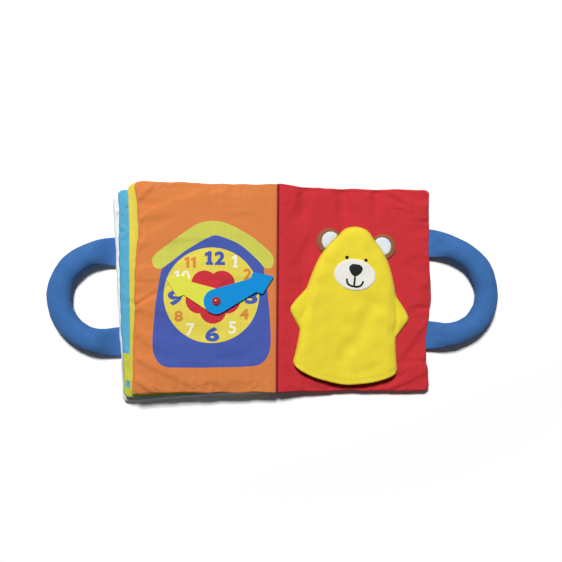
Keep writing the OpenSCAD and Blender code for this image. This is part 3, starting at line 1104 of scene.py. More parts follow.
    def printed(self, top: Array) -> Tuple[Array, Array, List[int]]:
        """Cuts the top along the outlines of its printed fields.

        Args:
            top: Grid of the top's points.

        Returns:
            Points, triangles and the number of the finish of each triangle.
        """
        d, y = self.flat(*self.steps(self.fine))
        rim = [(d[:, 0], y[:, 0]), (d[-1], y[-1]), (d[::-1, -1], y[::-1, -1]), (d[0, ::-1], y[0, ::-1])]
        outline = np.concatenate([np.stack(part, 1)[:-1] for part in rim])
        grid = np.stack([d[1:-1, 1:-1].ravel(), y[1:-1, 1:-1].ravel()], 1)
        loops = [loop for f in self.fields for loop in f.loops]
        clear = np.ones(len(grid), bool)
        for loop in loops:
            clear &= distance_to(grid, loop, closed=True) > 0.5
        flat, faces = triangulate(outline, grid[clear], loops)
        middle = flat[faces].mean(axis=1)
        inks = np.zeros(len(faces), int)
        for number, printed_field in enumerate(self.fields):
            inks[inside(middle, printed_field.loops)] = 2 + number
        steps_u, steps_v = self.steps_at(flat[:, 0], flat[:, 1])
        return sampled(top, steps_u, steps_v), faces, inks.tolist()


def blurred(grid: Array, reach: int) -> Array:
    """Smooths a grid of heights.

    Args:
        grid: The heights.
        reach: About how many steps each way it smooths over.

    Returns:
        The smoothed heights.
    """
    kernel = np.exp(-0.5 * (np.arange(-2 * reach, 2 * reach + 1) / reach) ** 2)
    kernel /= kernel.sum()
    out = grid
    for axis in (0, 1):
        wide = np.pad(out, [(2 * reach, 2 * reach) if a == axis else (0, 0) for a in (0, 1)], mode="edge")
        out = np.apply_along_axis(lambda row: np.convolve(row, kernel, "valid"), axis, wide)
    return out


def sampled(grid: Array, u: Array, v: Array) -> Array:
    """Reads a grid of points between its steps by a smooth curve.

    Args:
        grid: Points, rows by columns by 3.
        u: Places down the rows, from 0 to 1.
        v: Places along the columns, from 0 to 1.

    Returns:
        The points read, n by 3.
    """
    wide = np.pad(grid, ((1, 1), (1, 1), (0, 0)), mode="reflect", reflect_type="odd")
    places = []
    for t, count in ((u, grid.shape[0] - 1), (v, grid.shape[1] - 1)):
        x = np.clip(t, 0, 1) * count
        i = np.minimum(x.astype(int), count - 1)
        f = x - i
        weights = (
            f * (-0.5 + f * (1 - 0.5 * f)),
            1 + f * f * (1.5 * f - 2.5),
            f * (0.5 + f * (2 - 1.5 * f)),
            f * f * (0.5 * f - 0.5),
        )
        places.append((i, weights))
    (i, wu), (j, wv) = places
    out = np.zeros((len(u), 3))
    for a in range(4):
        for b in range(4):
            out += (wu[a] * wv[b])[:, None] * wide[i + a, j + b]
    return out


# Printing on the clock page


@dataclass(frozen=True)
class FigureInk:
    """How a number of the dial is printed."""

    finish: Finish
    height: float
    bold: float
    wide: float
    foot: bool = True


@dataclass
class ClockPrint:
    """A house-shaped clock printed on the page, in page millimetres with x to the right."""

    dial_centre: Point = (-68.4, -7.0)
    dial_r: float = 49.0
    flower_centre: Point = (-67.1, -7.4)
    petal_d: float = 15.1
    petal_r: float = 13.6

    def mirrored(self, loop: Loop) -> Loop:
        """Turns page x into distance from the seam."""
        return np.stack([-loop[:, 0], loop[:, 1]], 1)

    def house(self) -> Loop:
        """Draws the house: a gable, walls that splay a little and round bottom corners.

        Returns:
            Its outline.
        """
        return smooth_curve([
            (-65.5, 58), (-84, 49.5), (-105, 35), (-116.5, 25), (-119.3, 19.8), (-121, 13), (-122.7, 3.8),
            (-125.8, -20), (-128, -50), (-127.3, -64.5), (-123.4, -74), (-116, -79.6), (-105, -80.9),
            (-65, -81.2), (-27, -80.2), (-16.5, -77.3), (-9.8, -69.5), (-7, -55), (-8.3, -27), (-11.5, 3),
            (-14.3, 16.8), (-14.6, 22), (-20, 32), (-33, 45), (-48, 53.5),
        ], 5)

    def roof(self) -> Loop:
        """Draws the roof: a bent band with round ends.

        Returns:
            Its outline.
        """
        return smooth_curve([
            (-66.1, 69.1), (-73.4, 68.6), (-82.6, 66.3), (-93.4, 59.6), (-105.1, 51.1), (-120.4, 39.4), (-127.5, 32.9),
            (-129.7, 28.4), (-127.8, 22.5), (-123.8, 19.8), (-119.3, 20.3), (-112.1, 25.4), (-96.9, 37.5),
            (-80.6, 47.9), (-73.3, 51.7), (-65.5, 54.4), (-56.8, 52.5), (-40.1, 45.6), (-25.1, 33.5), (-17.6, 26.1),
            (-14.3, 22), (-10.5, 21.2), (-6.8, 22), (-4.5, 27.2), (-4.7, 32.8), (-8.3, 38.4), (-13, 42.5),
            (-24.3, 51.6), (-35.5, 58.4), (-45.8, 63.8), (-57.8, 68.1),
        ], 5)

    def flower(self) -> Loop:
        """Draws a plain flower of five round petals, one of them straight down.

        Returns:
            Its outline.
        """
        a = np.arange(180) * TAU / 180
        off = np.mod(a + math.pi / 2 + math.pi / 5, TAU / 5) - math.pi / 5
        r = self.petal_d * np.cos(off) + np.sqrt(self.petal_r ** 2 - (self.petal_d * np.sin(off)) ** 2)
        return np.stack([self.flower_centre[0] + r * np.cos(a), self.flower_centre[1] + r * np.sin(a)], 1)

    def glyph(self, character: str) -> List[Loop]:
        """Draws one figure.

        Args:
            character: The figure, or "i" for a 1 with a foot.

        Returns:
            Its outlines, about 0.7 tall.
        """
        stem = [(0.055, 0.7), (-0.03, 0.7), (-0.19, 0.59), (-0.17, 0.5), (-0.055, 0.56)]
        if character in "1i":
            foot = [(-0.055, 0.07), (-0.13, 0.07), (-0.13, 0), (0.13, 0), (0.13, 0.07), (0.055, 0.07)]
            return [np.array(stem + (foot if character == "i" else [(-0.055, 0), (0.055, 0)]))]
        curve = bpy.data.curves.new("figure", "FONT")
        curve.body = character
        curve.resolution_u = 5
        holder = bpy.data.objects.new("figure", curve)
        bpy.context.scene.collection.objects.link(holder)
        bpy.context.view_layer.update()
        mesh = holder.evaluated_get(bpy.context.evaluated_depsgraph_get()).to_mesh()
        points = np.array([tuple(v.co)[:2] for v in mesh.vertices])
        following = dict(border([tuple(p.vertices) for p in mesh.polygons]))
        bpy.data.objects.remove(holder)
        bpy.data.curves.remove(curve)
        rings = []
        while following:
            ring = [next(iter(following))]
            while ring[-1] in following:
                ring.append(following.pop(ring[-1]))
            rings.append(points[ring[:-1]])
        return rings

    def figure(self, text: str, ink: FigureInk, centre: Point) -> List[Loop]:
        """Draws a number of the dial.

        Args:
            text: The number.
            ink: How it is printed.
            centre: Its middle.

        Returns:
            Its outlines.
        """
        loops: List[Loop] = []
        pen = 0.0
        for character in text:
            rings = self.glyph("i" if character == "1" and ink.foot else character)
            rings = [self.thickened(ring, [r for r in rings if r is not ring], ink.bold) for ring in rings]
            left, right = (f(f(ring[:, 0]) for ring in rings) for f in (min, max))
            loops += [ring + np.array([pen - left, 0]) for ring in rings]
            pen += right - left + 0.07
        points = np.concatenate(loops)
        low, high = points.min(axis=0), points.max(axis=0)
        scale = ink.height / (high[1] - low[1]) * np.array([ink.wide, 1.0])
        return [(loop - (low + high) / 2) * scale + np.array(centre) for loop in loops]

    def thickened(self, ring: Loop, others: Sequence[Loop], bold: float) -> Loop:
        """Moves an outline away from the ink that it bounds.

        Args:
            ring: The outline.
            others: The other outlines of the same number.
            bold: Distance to move.

        Returns:
            The moved outline.
        """
        ahead, behind = np.roll(ring, -1, axis=0) - ring, ring - np.roll(ring, 1, axis=0)
        turned = np.sum(ring[:, 0] * np.roll(ring[:, 1], -1) - ring[:, 1] * np.roll(ring[:, 0], -1))
        hole = bool(inside(ring[:1], others)[0]) if others else False
        sign = np.sign(turned) * (-1 if hole else 1)
        outward = sum(np.stack([e[:, 1], -e[:, 0]], 1) / np.linalg.norm(e, axis=1)[:, None] for e in (ahead, behind))
        reach = np.maximum(np.sum(outward ** 2, axis=1), 1.0)[:, None]
        return ring + sign * bold * 2 * outward / reach

    def fields(self) -> List[PrintedField]:
        """Draws all that is printed on the page.

        Returns:
            The printed fields from the lowest ink to the highest.
        """
        drawn = [
            PrintedField(HOUSE_COTTON, [self.house()]),
            PrintedField(ROOF_COTTON, [self.roof()]),
            PrintedField(DIAL_COTTON, [oval(self.dial_centre, self.dial_r, self.dial_r, 120)]),
            PrintedField(FLOWER_COTTON, [self.flower()]),
        ]
        big = FigureInk(HOUSE_COTTON, 15.2, 0.05, 1.5)
        wide = FigureInk(HOUSE_COTTON, 14.2, 0.05, 1.15)
        white = FigureInk(WHITE_INK_COTTON, 12.8, 0.015, 1.05)
        amber = FigureInk(AMBER_INK_COTTON, 11.4, 0.04, 1.15, foot=False)
        inks = (white, amber, big, amber, white, big, white, amber, big, white, amber, wide)
        centres = (
            (-44.9, 28.2), (-31.6, 15), (-27.5, -8.2), (-34.6, -26.2), (-47, -40), (-67.6, -47),
            (-90, -42), (-102.1, -28.5), (-106, -10), (-99, 12), (-91, 26.6), (-65.6, 31.2),
        )
        for hour, (ink, centre) in enumerate(zip(inks, centres), 1):
            drawn.append(PrintedField(ink.finish, self.figure(str(hour), ink, centre)))
        for printed_field in drawn:
            printed_field.loops = [self.mirrored(loop) for loop in printed_field.loops]
        return drawn


# Sub-assemblies


@dataclass
class ClothPages:
    """The two covers and the two leaves."""

    cover_lay: float = 3.3
    lower_lay: float = 2.9
    front_w: float = 167.5
    lower_w: float = 164.0
    upper_w: float = 147.5
    print_inset: float = 0.6

    def front_cover(self) -> PaddedPanel:
        """Describes the cover on the left, white inside.

        Returns:
            The panel.
        """
        share = BOOK.cover_t / BOOK.stack_h
        return PaddedPanel(
            "front_cover_pad", "front_cover", "white_cloth", ("front_cover",), -1, self.front_w,
            low=BOOK.under_z, high=lambda d: BOOK.level_z(share, d) - BOOK.leaf_gap / 2,
            face=WHITE_COTTON, underside=WHITE_COTTON, seed=11, lay_deg=self.cover_lay, shift_y=-1.6,
            seam_rise=0.3, tucks=random_tucks(21),
        )

    def lower_leaf(self) -> PaddedPanel:
        """Describes the lower leaf, printed with a plain sky and meadow.

        Returns:
            The panel.
        """
        low_share = BOOK.cover_t / BOOK.stack_h
        high_share = (BOOK.cover_t + BOOK.leaf_t) / BOOK.stack_h
        round_r = BOOK.corner_r - self.print_inset
        corner = np.array([self.lower_w - BOOK.corner_r, BOOK.corner_r - BOOK.cover_h / 2])
        turn = np.linspace(0, -math.pi / 2, 9)
        hill = [(40.0, -78.0), (90.0, -62.0), (130.0, -65.0), (float(corner[0] + round_r), -61.0)]
        meadow = np.concatenate([
            smooth_curve(hill, 10, False), corner + round_r * np.stack([np.cos(turn), np.sin(turn)], 1),
            [(40.0, corner[1] - round_r)],
        ])
        return PaddedPanel(
            "lower_leaf_pad", "pages", "printed_cloth", ("pages",), -1, self.lower_w,
            low=lambda d: BOOK.level_z(low_share, d) + BOOK.leaf_gap / 2,
            high=lambda d: BOOK.level_z(high_share, d) - BOOK.leaf_gap / 2,
            face=SKY_COTTON, underside=SKY_COTTON, seed=12, lay_deg=self.lower_lay, shift_y=2.4,
            tucks=random_tucks(22) + [Tuck(Edge.FORE, 104, 24, 12, 0.0, 2.6), Tuck(Edge.FOOT, 85, 22.5, 12, 0.0, 3.4)],
            fields=[
                PrintedField(MEADOW_COTTON, [meadow]),
                PrintedField(SKY_COTTON, [oval((158.6, -93.6), 3.6, 3.6, 64)]),
            ],
        )

    def upper_leaf(self) -> PaddedPanel:
        """Describes the upper leaf, orange with the printed clock, yellow underneath.

        Returns:
            The panel.
        """
        share = (BOOK.cover_t + BOOK.leaf_t) / BOOK.stack_h
        tucks = random_tucks(23, 15, 0.5) + [
            Tuck(Edge.FORE, -19, 2.2, 17, 2.8, 1.2, 0.6),
            Tuck(Edge.FORE, 58, 16, 12, 0.3, 3.2),
            Tuck(Edge.FORE, 107, 6, 12, 0.0, -1.4),
            Tuck(Edge.FORE, -98, 22, 12, 0.0, -1.3),
            Tuck(Edge.FORE, 50, 2.4, 9, 0.9, 0.4),
            Tuck(Edge.FOOT, 62, 2.6, 10, 1.1, 0.6),
            Tuck(Edge.FOOT, 84, 2.4, 9, 1.2, 0.5),
            Tuck(Edge.FOOT, 104, 2.8, 11, 1.3, 0.6),
            Tuck(Edge.FOOT, 124, 2.4, 9, 1.1, 0.4),
            Tuck(Edge.HEAD, 48, 3.5, 14, 0.8, 0.5),
        ]
        return PaddedPanel(
            "clock_leaf_pad", "pages", "printed_cloth", ("pages",), -1, self.upper_w,
            low=lambda d: BOOK.level_z(share, d) + BOOK.leaf_gap / 2, high=BOOK.stack_z,
            face=ORANGE_COTTON, underside=YELLOW_COTTON, seed=13, seam_rise=0.3, overhang=5.0,
            overhang_lean=0.3, foot_overhang=2.0, head_rise=(2.0, 2.0, 2.0), lump=0.35, tucks=tucks,
            fields=ClockPrint().fields(),
        )

    def back_cover(self) -> PaddedPanel:
        """Describes the cover on the right, red inside.

        Returns:
            The panel.
        """
        tucks = random_tucks(24, 16, 0.6) + [
            Tuck(Edge.HEAD, 27, 5.5, 34, 3.6, 0.4),
            Tuck(Edge.HEAD, 69, 6, 30, 3.4, 0.3),
            Tuck(Edge.HEAD, 106, 6, 28, 3.2, 0.3),
            Tuck(Edge.FORE, -19, 2.2, 9, 2.2, 0.8),
            Tuck(Edge.FORE, -77, 2.4, 10, 2.4, 1.0),
            Tuck(Edge.FORE, -8, 14, 12, 0.0, -2.2),
            Tuck(Edge.FORE, 49, 9, 10, 0.4, 0.6),
            Tuck(Edge.FORE, -54, 10, 12, 0.7, 4.0),
        ]
        return PaddedPanel(
            "back_cover_pad", "back_cover", "red_cloth", ("back_cover",), 1, BOOK.cover_w,
            low=BOOK.under_z, high=BOOK.back_z, face=RED_COTTON, underside=RED_COTTON, seed=14,
            seam_rise=0.5, head_rise=(3.0, 0.6, 0.0), tucks=tucks,
        )

    def build(self) -> Piece:
        """Builds the four pads.

        Returns:
            The back cover's pad.
        """
        for panel in (self.front_cover(), self.lower_leaf(), self.upper_leaf()):
            panel.build()
        return self.back_cover().build()


@dataclass
class LoopHandle:
    """A stuffed plush tube bent to a loop, whose flattened ends are sewn into a cover's edge."""

    name: str
    body: str
    node: str
    knots: Tuple[Point, ...]
    seed: int
    half_w: float = 12.2
    half_h: float = 10.8
    rim_z: float = 8.0
    tab_half_w: float = 15.0
    tab_half_h: float = 0.7
    sunk: float = 9.5
    flatten: float = 26.0
    girth: float = 13.0
    lump: float = 0.3
    lump_mm: float = 30.0
    ripple: float = 0.12
    ripple_mm: float = 13.0
    gather: float = 0.35
    gathers: int = 7
    seam_bulge: float = 0.3
    around: int = 64
    along: int = 160

    def path(self) -> Tuple[Array, Array]:
        """Finds the middle line of the tube in plan.

        Returns:
            Evenly spaced points of the line, and the distance of each along it.
        """
        curve = smooth_curve(self.knots, 12, False)
        run = np.r_[0, np.cumsum(np.linalg.norm(np.diff(curve, axis=0), axis=1))]
        s = np.linspace(0, run[-1], self.along + 1)
        line = np.stack([np.interp(s, run, curve[:, k]) for k in (0, 1)], 1)
        for _ in range(40):
            line[1:-1] = line[1:-1] / 2 + (line[:-2] + line[2:]) / 4
        return line, s

    def build(self) -> Piece:
        """Builds the handle and hangs it on its cover.

        Returns:
            The handle.
        """
        line, s = self.path()
        ahead = np.gradient(line, axis=0)
        ahead /= np.linalg.norm(ahead, axis=1)[:, None]
        outward = np.stack([-ahead[:, 1], ahead[:, 0]], 1)
        if np.sum(outward * (line - line.mean(axis=0))) < 0:
            outward = -outward
        rest = np.clip((np.minimum(s, s[-1] - s) - self.sunk) / self.flatten, 0, 1)
        ripe = (rest * rest * (3 - 2 * rest))[:, None]
        half_w = self.tab_half_w + (self.half_w - self.tab_half_w) * ripe
        half_h = self.tab_half_h + (self.half_h - self.tab_half_h) * ripe
        mid_z = self.rim_z + (self.half_h + 0.2 - self.rim_z) * ripe
        s_grid, turn = np.meshgrid(s, np.arange(self.around) * TAU / self.around, indexing="ij")
        bump = self.lump * lumps(s_grid, self.girth * np.sin(turn), self.lump_mm, self.seed)
        bump += self.ripple * lumps(s_grid, self.girth * np.cos(turn), self.ripple_mm, self.seed + 1)
        sway = 1.5 * lumps(s_grid, 0 * turn, 40, self.seed + 2)
        bump += self.gather * np.sin(self.gathers * turn + sway) * (4 * ripe * (1 - ripe)) ** 0.7
        seam = np.exp(-(np.sin(turn) / 0.18) ** 2)
        across = (half_w + (bump + self.seam_bulge * seam) * ripe) * np.cos(turn)
        up = (half_h + bump * ripe) * np.sign(np.sin(turn)) * np.abs(np.sin(turn)) ** 0.85
        x = line[:, :1] + outward[:, :1] * across
        y = line[:, 1:] + outward[:, 1:] * across
        z = np.maximum(mid_z + up, 0.15)
        points = np.stack([x, y, z], -1).reshape(-1, 3)
        piece = make_piece(self.name, points, tube_faces(*x.shape), [BLUE_PLUSH])
        return settle(piece, self.body, (self.node,))


FRONT_LOOP = (
    (-160.5, 38.4), (-168, 38.3), (-178, 38.3), (-188.3, 37.2), (-206.8, 29.4), (-220.3, 16), (-226.6, 1.2),
    (-227.5, -12.2), (-223.9, -27.4), (-213.8, -42), (-197, -53), (-180.2, -56.1), (-165, -55.8), (-155.5, -55),
)
BACK_LOOP = (
    (154, 51.4), (165, 50.8), (175, 49.6), (185, 47), (203.8, 38.2), (218.4, 23.6), (225.2, 6.4),
    (226.2, -8.2), (220.8, -25.8), (206.8, -40.2), (188, -47.2), (175, -48.2), (163, -47.8), (151, -47.4),
)


@dataclass
class SpineSeam:
    """The rolled and overcast seam in the gutter."""

    foot_y: float = -105.5
    head_y: float = 110.6
    around: int = 16
    stitch_mm: float = 4.0
    strip_half_w: float = 9.0
    strip_flat_w: float = 19.5
    strip_t: float = 0.5
    strip_bend: float = 5.0

    def build(self) -> Piece:
        """Builds the rolled seam and the strip under it.

        Returns:
            The strip.
        """
        y = np.linspace(self.foot_y, self.head_y, 260)
        a = np.arange(self.around) * TAU / self.around
        y_grid, a_grid = np.meshgrid(y, a, indexing="ij")
        bite = np.exp(-((np.mod(y_grid + 0.5 * a_grid, self.stitch_mm) - self.stitch_mm / 2) / 0.5) ** 2)
        r = BOOK.seam_r * (0.97 - 0.10 * bite) + 0.06 * lumps(y_grid, a_grid * 2, 9, 71)
        r = np.minimum(r, BOOK.seam_r + 0.15)
        points = np.stack([r * np.cos(a_grid), y_grid, BOOK.seam_z - 1 + r * np.sin(a_grid)], -1)
        # The roll takes the dark seam cloth, which is painted shade for the gutter.
        piece = make_piece("spine_seam_roll", points.reshape(-1, 3), tube_faces(*r.shape), [SEAM_COTTON_PAINTED_SHADE])
        settle(piece, "front_cover", ("spine_seam",))
        return self.strip()

    def strip(self) -> Piece:
        """Builds the strip of cloth that closes the spine under the seam.

        Returns:
            The strip.
        """
        head_y, bend = self.head_y - 1, self.strip_bend * MM
        across = np.linspace(-self.strip_half_w, self.strip_half_w, 37)
        x, y = np.meshgrid(across, np.linspace(self.foot_y, head_y, 80), indexing="ij")
        d = np.maximum(np.abs(x), 0.3)
        under = BOOK.under_z(d) - BOOK.gutter(np.maximum(d, BOOK.inner_d)) - 0.35
        top = (under - 0.4 * np.exp(-(x / 2) ** 2) + 0.08 * lumps(x, y, 14, 72)).ravel()
        plan = np.stack([x.ravel(), y.ravel()], 1)
        faces = grid_faces(np.arange(x.size).reshape(x.shape))
        piece = slab("spine_cloth", plan, faces, top, top - self.strip_t, RED_COTTON)
        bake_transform(piece)
        log.info("%s: %d faces across the spine", piece.name, len(piece.data.polygons))
        return piece


@dataclass
class PlayClock:
    """The two plastic hands on their rivet."""

    pivot_d: float = 64.0
    pivot_y: float = -13.0
    hand_t: float = 1.4
    hub_r: float = 13.0
    arrow_len: float = 22.5
    barb_lead: float = 5.0
    arrow_half: float = 12.5
    neck_half: float = 7.5
    air: float = 0.25
    bore_r: float = 2.55
    round_r: float = 1.6
    hour_len: float = 55.5
    minute_len: float = 64.5
    hour_deg: float = 156.0
    minute_deg: float = 24.0
    # Rounding takes about this much off the point.
    point_past: float = 0.9
    edge_round: float = 0.35

    def outline(self, length: float) -> Array:
        """Draws a hand that points along +X, with its corners rounded.

        Args:
            length: Length from the pivot to the point.

        Returns:
            Its closed outline.
        """
        neck = length - self.arrow_len
        barb = neck + self.barb_lead
        a = np.linspace(math.pi / 2, 3 * math.pi / 2, 33)
        hub = [(self.hub_r * math.cos(t), self.hub_r * math.sin(t)) for t in a]
        head = [
            (neck, -self.neck_half), (barb, -self.arrow_half), (length + self.point_past, 0.0),
            (barb, self.arrow_half), (neck, self.neck_half),
        ]
        chain = [np.array(p) for p in (hub[-1], *head, hub[0])]
        out = [np.array(p) for p in hub]
        for before, at, after in zip(chain[:-2], chain[1:-1], chain[2:]):
            to_before = (before - at) / np.linalg.norm(before - at)
            to_after = (after - at) / np.linalg.norm(after - at)
            for t in np.linspace(0, 1, 7):
                p, q = at + to_before * self.round_r, at + to_after * self.round_r
                out.append((1 - t) ** 2 * p + 2 * t * (1 - t) * at + t * t * q)
        return np.array(out)

    def placed(self, points: Array) -> Array:
        """Puts points of the clock's own frame on the sloping page.

        Args:
            points: Points about the pivot, n by 3.

        Returns:
            The points in the book's frame.
        """
        slope = math.atan((BOOK.stack_h - BOOK.seam_z) / BOOK.cover_w)
        x = points[:, 0] * math.cos(slope) + points[:, 2] * math.sin(slope)
        z = -points[:, 0] * math.sin(slope) + points[:, 2] * math.cos(slope)
        base = float(BOOK.stack_z(np.array(self.pivot_d)))
        return np.stack([x - self.pivot_d, points[:, 1] + self.pivot_y, z + base], 1)

    def hand(self, name: str, length: float, level: float, turn_deg: float, finish: Finish) -> None:
        """Builds one hand.

        Args:
            name: Node that it replaces, and its body.
            length: Length from the pivot to the point.
            level: Height of its underside above the page.
            turn_deg: Angle from +X.
            finish: Its plastic.
        """
        bore = oval((0, 0), self.bore_r, self.bore_r, 32)[::-1]
        flat, faces = triangulate(self.outline(length), np.zeros((0, 2)), [bore])
        faces = faces[~inside(flat[faces].mean(axis=1), [bore])]
        n = len(flat)
        spun = leaning(flat, (0, 0), -turn_deg)
        solid = np.concatenate([np.c_[spun, np.full(n, level + z)] for z in (self.hand_t, 0.0)])
        piece = make_piece(f"{name}_plate", self.placed(solid), slab_faces(faces.tolist(), n), [finish])
        work = bmesh.new()
        work.from_mesh(piece.data)
        sharp = [e for e in work.edges if len(e.link_faces) == 2 and e.calc_face_angle() > 1.2]
        bmesh.ops.bevel(
            work, geom=sharp, offset=self.edge_round * MM, segments=3, profile=0.5, affect="EDGES", clamp_overlap=True
        )
        work.to_mesh(piece.data)
        work.free()
        tip, foot = self.placed(np.array([[0.0, 0, 1], [0, 0, 0]]))
        up = Vector(tip - foot)
        piece.data.set_sharp_from_angle(angle=math.radians(40))
        for polygon in piece.data.polygons:
            polygon.use_smooth = abs(polygon.normal.dot(up)) < 0.999
        settle(piece, name, (name,))

    def build(self) -> None:
        """Builds the hands and finishes the rivet."""
        above = 2 * self.air + self.hand_t
        self.hand("hour_hand", self.hour_len, self.air, self.hour_deg, LIME_PLASTIC)
        self.hand("minute_hand", self.minute_len, above, self.minute_deg, BLUE_PLASTIC)
        for node in ("rivet_cap", "rivet_plate"):
            rivet = bpy.data.objects[node]
            rivet.data.materials.clear()
            rivet.data.materials.append(RED_PLASTIC.material())
            log.info("%s: finished as %s", node, RED_PLASTIC.name)


@dataclass
class BearPuppet:
    """The fleece hand puppet on the right-hand page."""

    page: Surface
    centre: Point = (77.0, -26.0)
    lean_deg: float = 4.6
    panel_t: float = 1.2
    gap: float = 0.3
    pocket_h: float = 5.6
    grid_mm: float = 1.6
    muzzle_centre: Point = (1.2, 42.0)
    face_lean_deg: float = 3.5
    half_outline: Tuple[Point, ...] = (
        (0, 93.5), (8.5, 92), (14.5, 88.3), (20, 81), (26.8, 73), (34.8, 62.4), (40.7, 49.7), (45.2, 35.5),
        (48.2, 24.5), (51.5, 19.6), (58, 11.5), (62.8, 4), (63.6, 0.5), (62, -4.5), (56.4, -13), (52.4, -19.6),
        (52, -23.5), (53, -33), (54.6, -45.5), (56, -52.4), (55.4, -56.4), (49, -61.8), (38, -66.8), (25, -70.5),
    )
    wrist: Point = (0, -74)
    corner_knot: int = 20
    knot_steps: int = 5
    ear_centres: Tuple[Point, ...] = ((-27.9, 75.4), (29.9, 74.4))
    ear_r: float = 14.0
    ear_t: float = 2.0
    lining_r: float = 9.8
    lining_t: float = 0.8
    lining_rise: float = 2.15
    lining_shift: Point = (1.2, 0.4)
    edge_w: float = 4.0
    hem_depth: float = 0.4
    hem_at: float = 4.2
    hem_w: float = 1.1
    pocket_edge: float = 13.0
    arm_at: float = 44.5
    arm_w: float = 9.0
    arm_flat: float = 0.55
    # Start, end, width and depth of each fold.
    valleys: Tuple[Tuple[Point, Point, float, float], ...] = (
        ((24, 13), (-4, -46), 8.0, 2.1),
        ((-47, 17), (-51, -8), 2.2, 1.3),
        ((46.5, 21), (49.5, -18), 2.0, 1.4),
        ((8, -62), (34, -52), 5.0, 0.9),
    )
    muzzle_half: Point = (22.0, 16.5)
    nose_centre: Point = (0.0, 5.0)
    nose_knots: Tuple[Point, ...] = (
        (0, 6.3), (4.4, 5.7), (7.1, 2.6), (6.3, -1.4), (3.4, -5), (0, -6.6),
        (-3.4, -5), (-6.3, -1.4), (-7.1, 2.6), (-4.4, 5.7),
    )
    eye_centres: Tuple[Point, ...] = ((-11.0, 17.0), (9.4, 17.0))
    eye_half: Point = (2.0, 1.8)
    smile_knots: Tuple[Point, ...] = (
        (-8, -5.2), (-7, -9), (-4, -11.6), (0.8, -12.3), (5.6, -11.6), (8.6, -9), (9.6, -5.2),
    )
    smile_r: float = 1.05
    body: str = "back_cover"

    def on_page(self, points: Array) -> Array:
        """Moves points of the puppet's own frame onto the page."""
        return leaning(points, self.centre, self.lean_deg)

    def on_face(self, points: Array) -> Array:
        """Moves points of the leaning face, about the middle of the muzzle, into the puppet's own frame."""
        return leaning(points, self.muzzle_centre, self.face_lean_deg)

    def outline(self) -> Array:
        """Draws the puppet's outline clockwise from its crown."""
        left = [(-x, y) for x, y in self.half_outline[:0:-1]]
        return smooth_curve([*self.half_outline, self.wrist, *left], self.knot_steps)

    def sewn(self) -> Array:
        """Draws the sewn part of the outline, from one wrist corner over the crown to the other."""
        whole, corner = self.outline(), self.corner_knot * self.knot_steps
        return np.concatenate([whole[-corner:], whole[:corner + 1]])

    def wrist_line(self) -> Array:
        """Draws the open edge at the wrist."""
        whole, corner = self.outline(), self.corner_knot * self.knot_steps
        return whole[corner:len(whole) - corner + 1]

    def dots(self, outline: Array, margin: float) -> Array:
        """Spreads points inside an outline.

        Args:
            outline: Closed outline.
            margin: How far they stay clear of it.

        Returns:
            The points.
        """
        low, high = outline.min(axis=0), outline.max(axis=0)
        rows = np.arange(low[1], high[1], self.grid_mm * 0.87)
        points = [
            (x, y) for k, y in enumerate(rows)
            for x in np.arange(low[0] + (k % 2) * self.grid_mm / 2, high[0], self.grid_mm)
        ]
        cloud = np.array(points)
        cloud = cloud[inside(cloud, [outline])]
        return cloud[distance_to(cloud, outline, closed=True) > margin]

    def lift(self, points: Array) -> Array:
        """Lifts the front panel's inside off the back panel: high in the body, low in the flat arms.

        Args:
            points: Points in the puppet's own frame.

        Returns:
            The lift at each point.
        """
        edge = swell(distance_to(points, self.sewn()), self.pocket_edge)
        arm_line = self.arm_at - 0.10 * np.abs(points[:, 1] + 5)
        beside = (np.abs(points[:, 0]) - arm_line) / self.arm_w
        window = np.exp(-(((points[:, 1] - 3) / 24) ** 4))
        arm = 1 - self.arm_flat * window * np.clip(beside + 0.35, 0, 1) ** 0.8
        return self.pocket_h * edge * arm

    def folds(self, points: Array) -> Array:
        """Shapes the soft folds in the front panel.

        Args:
            points: Points in the puppet's own frame.

        Returns:
            The height that the folds add at each point.
        """
        u, v = points[:, 0], points[:, 1]
        total = np.zeros(len(points))
        for start, end, width, depth in self.valleys:
            line = smooth_curve([start, ((start[0] + end[0]) / 2 + 3, (start[1] + end[1]) / 2), end], 8, False)
            total -= depth * np.exp(-(distance_to(points, line) / width) ** 2)
        total += 0.35 * lumps(u, v, 24, 81)
        inner = np.clip(distance_to(points, self.sewn()) / 10, 0, 1)
        return total * inner

    def build(self) -> None:
        """Builds the panels, the ears and the face."""
        front = self.panels()
        self.ears()
        self.features(surface_of(front))

    def panels(self) -> Piece:
        """Builds the two body panels.

        Returns:
            The front one.
        """
        outline = self.outline()[::-1]
        flat, faces = triangulate(outline, self.dots(outline, 1.0), [])
        plan = self.on_page(flat)
        ground = BOOK.back_z(plan[:, 0])
        rest = self.gap + self.panel_t + self.gap / 2
        edge = swell(distance_to(flat, self.sewn()), self.edge_w)
        hem = self.hem_depth * np.exp(-((distance_to(flat, self.wrist_line()) - self.hem_at) / self.hem_w) ** 2)
        top = rest + self.lift(flat) + self.folds(flat) + self.panel_t * edge - hem
        bottom = np.maximum(top - self.panel_t * np.maximum(edge, 0.02), rest)
        bottom = np.minimum(bottom, top - 0.02)
        front = slab("puppet_front", plan, faces.tolist(), ground + top, ground + bottom, YELLOW_FLEECE)
        settle(front, self.body, ("puppet_front_panel",))
        inner = outline * np.array([0.985, 0.99])
        flat, faces = triangulate(inner, self.dots(inner, 1.0), [])
        plan = self.on_page(flat)
        ground = np.maximum(self.page(plan), BOOK.back_z(plan[:, 0])) + self.gap
        back = slab("puppet_back", plan, faces.tolist(), ground + self.panel_t - 0.1, ground, YELLOW_FLEECE)
        settle(back, self.body, ("puppet_back_panel",))
        return front

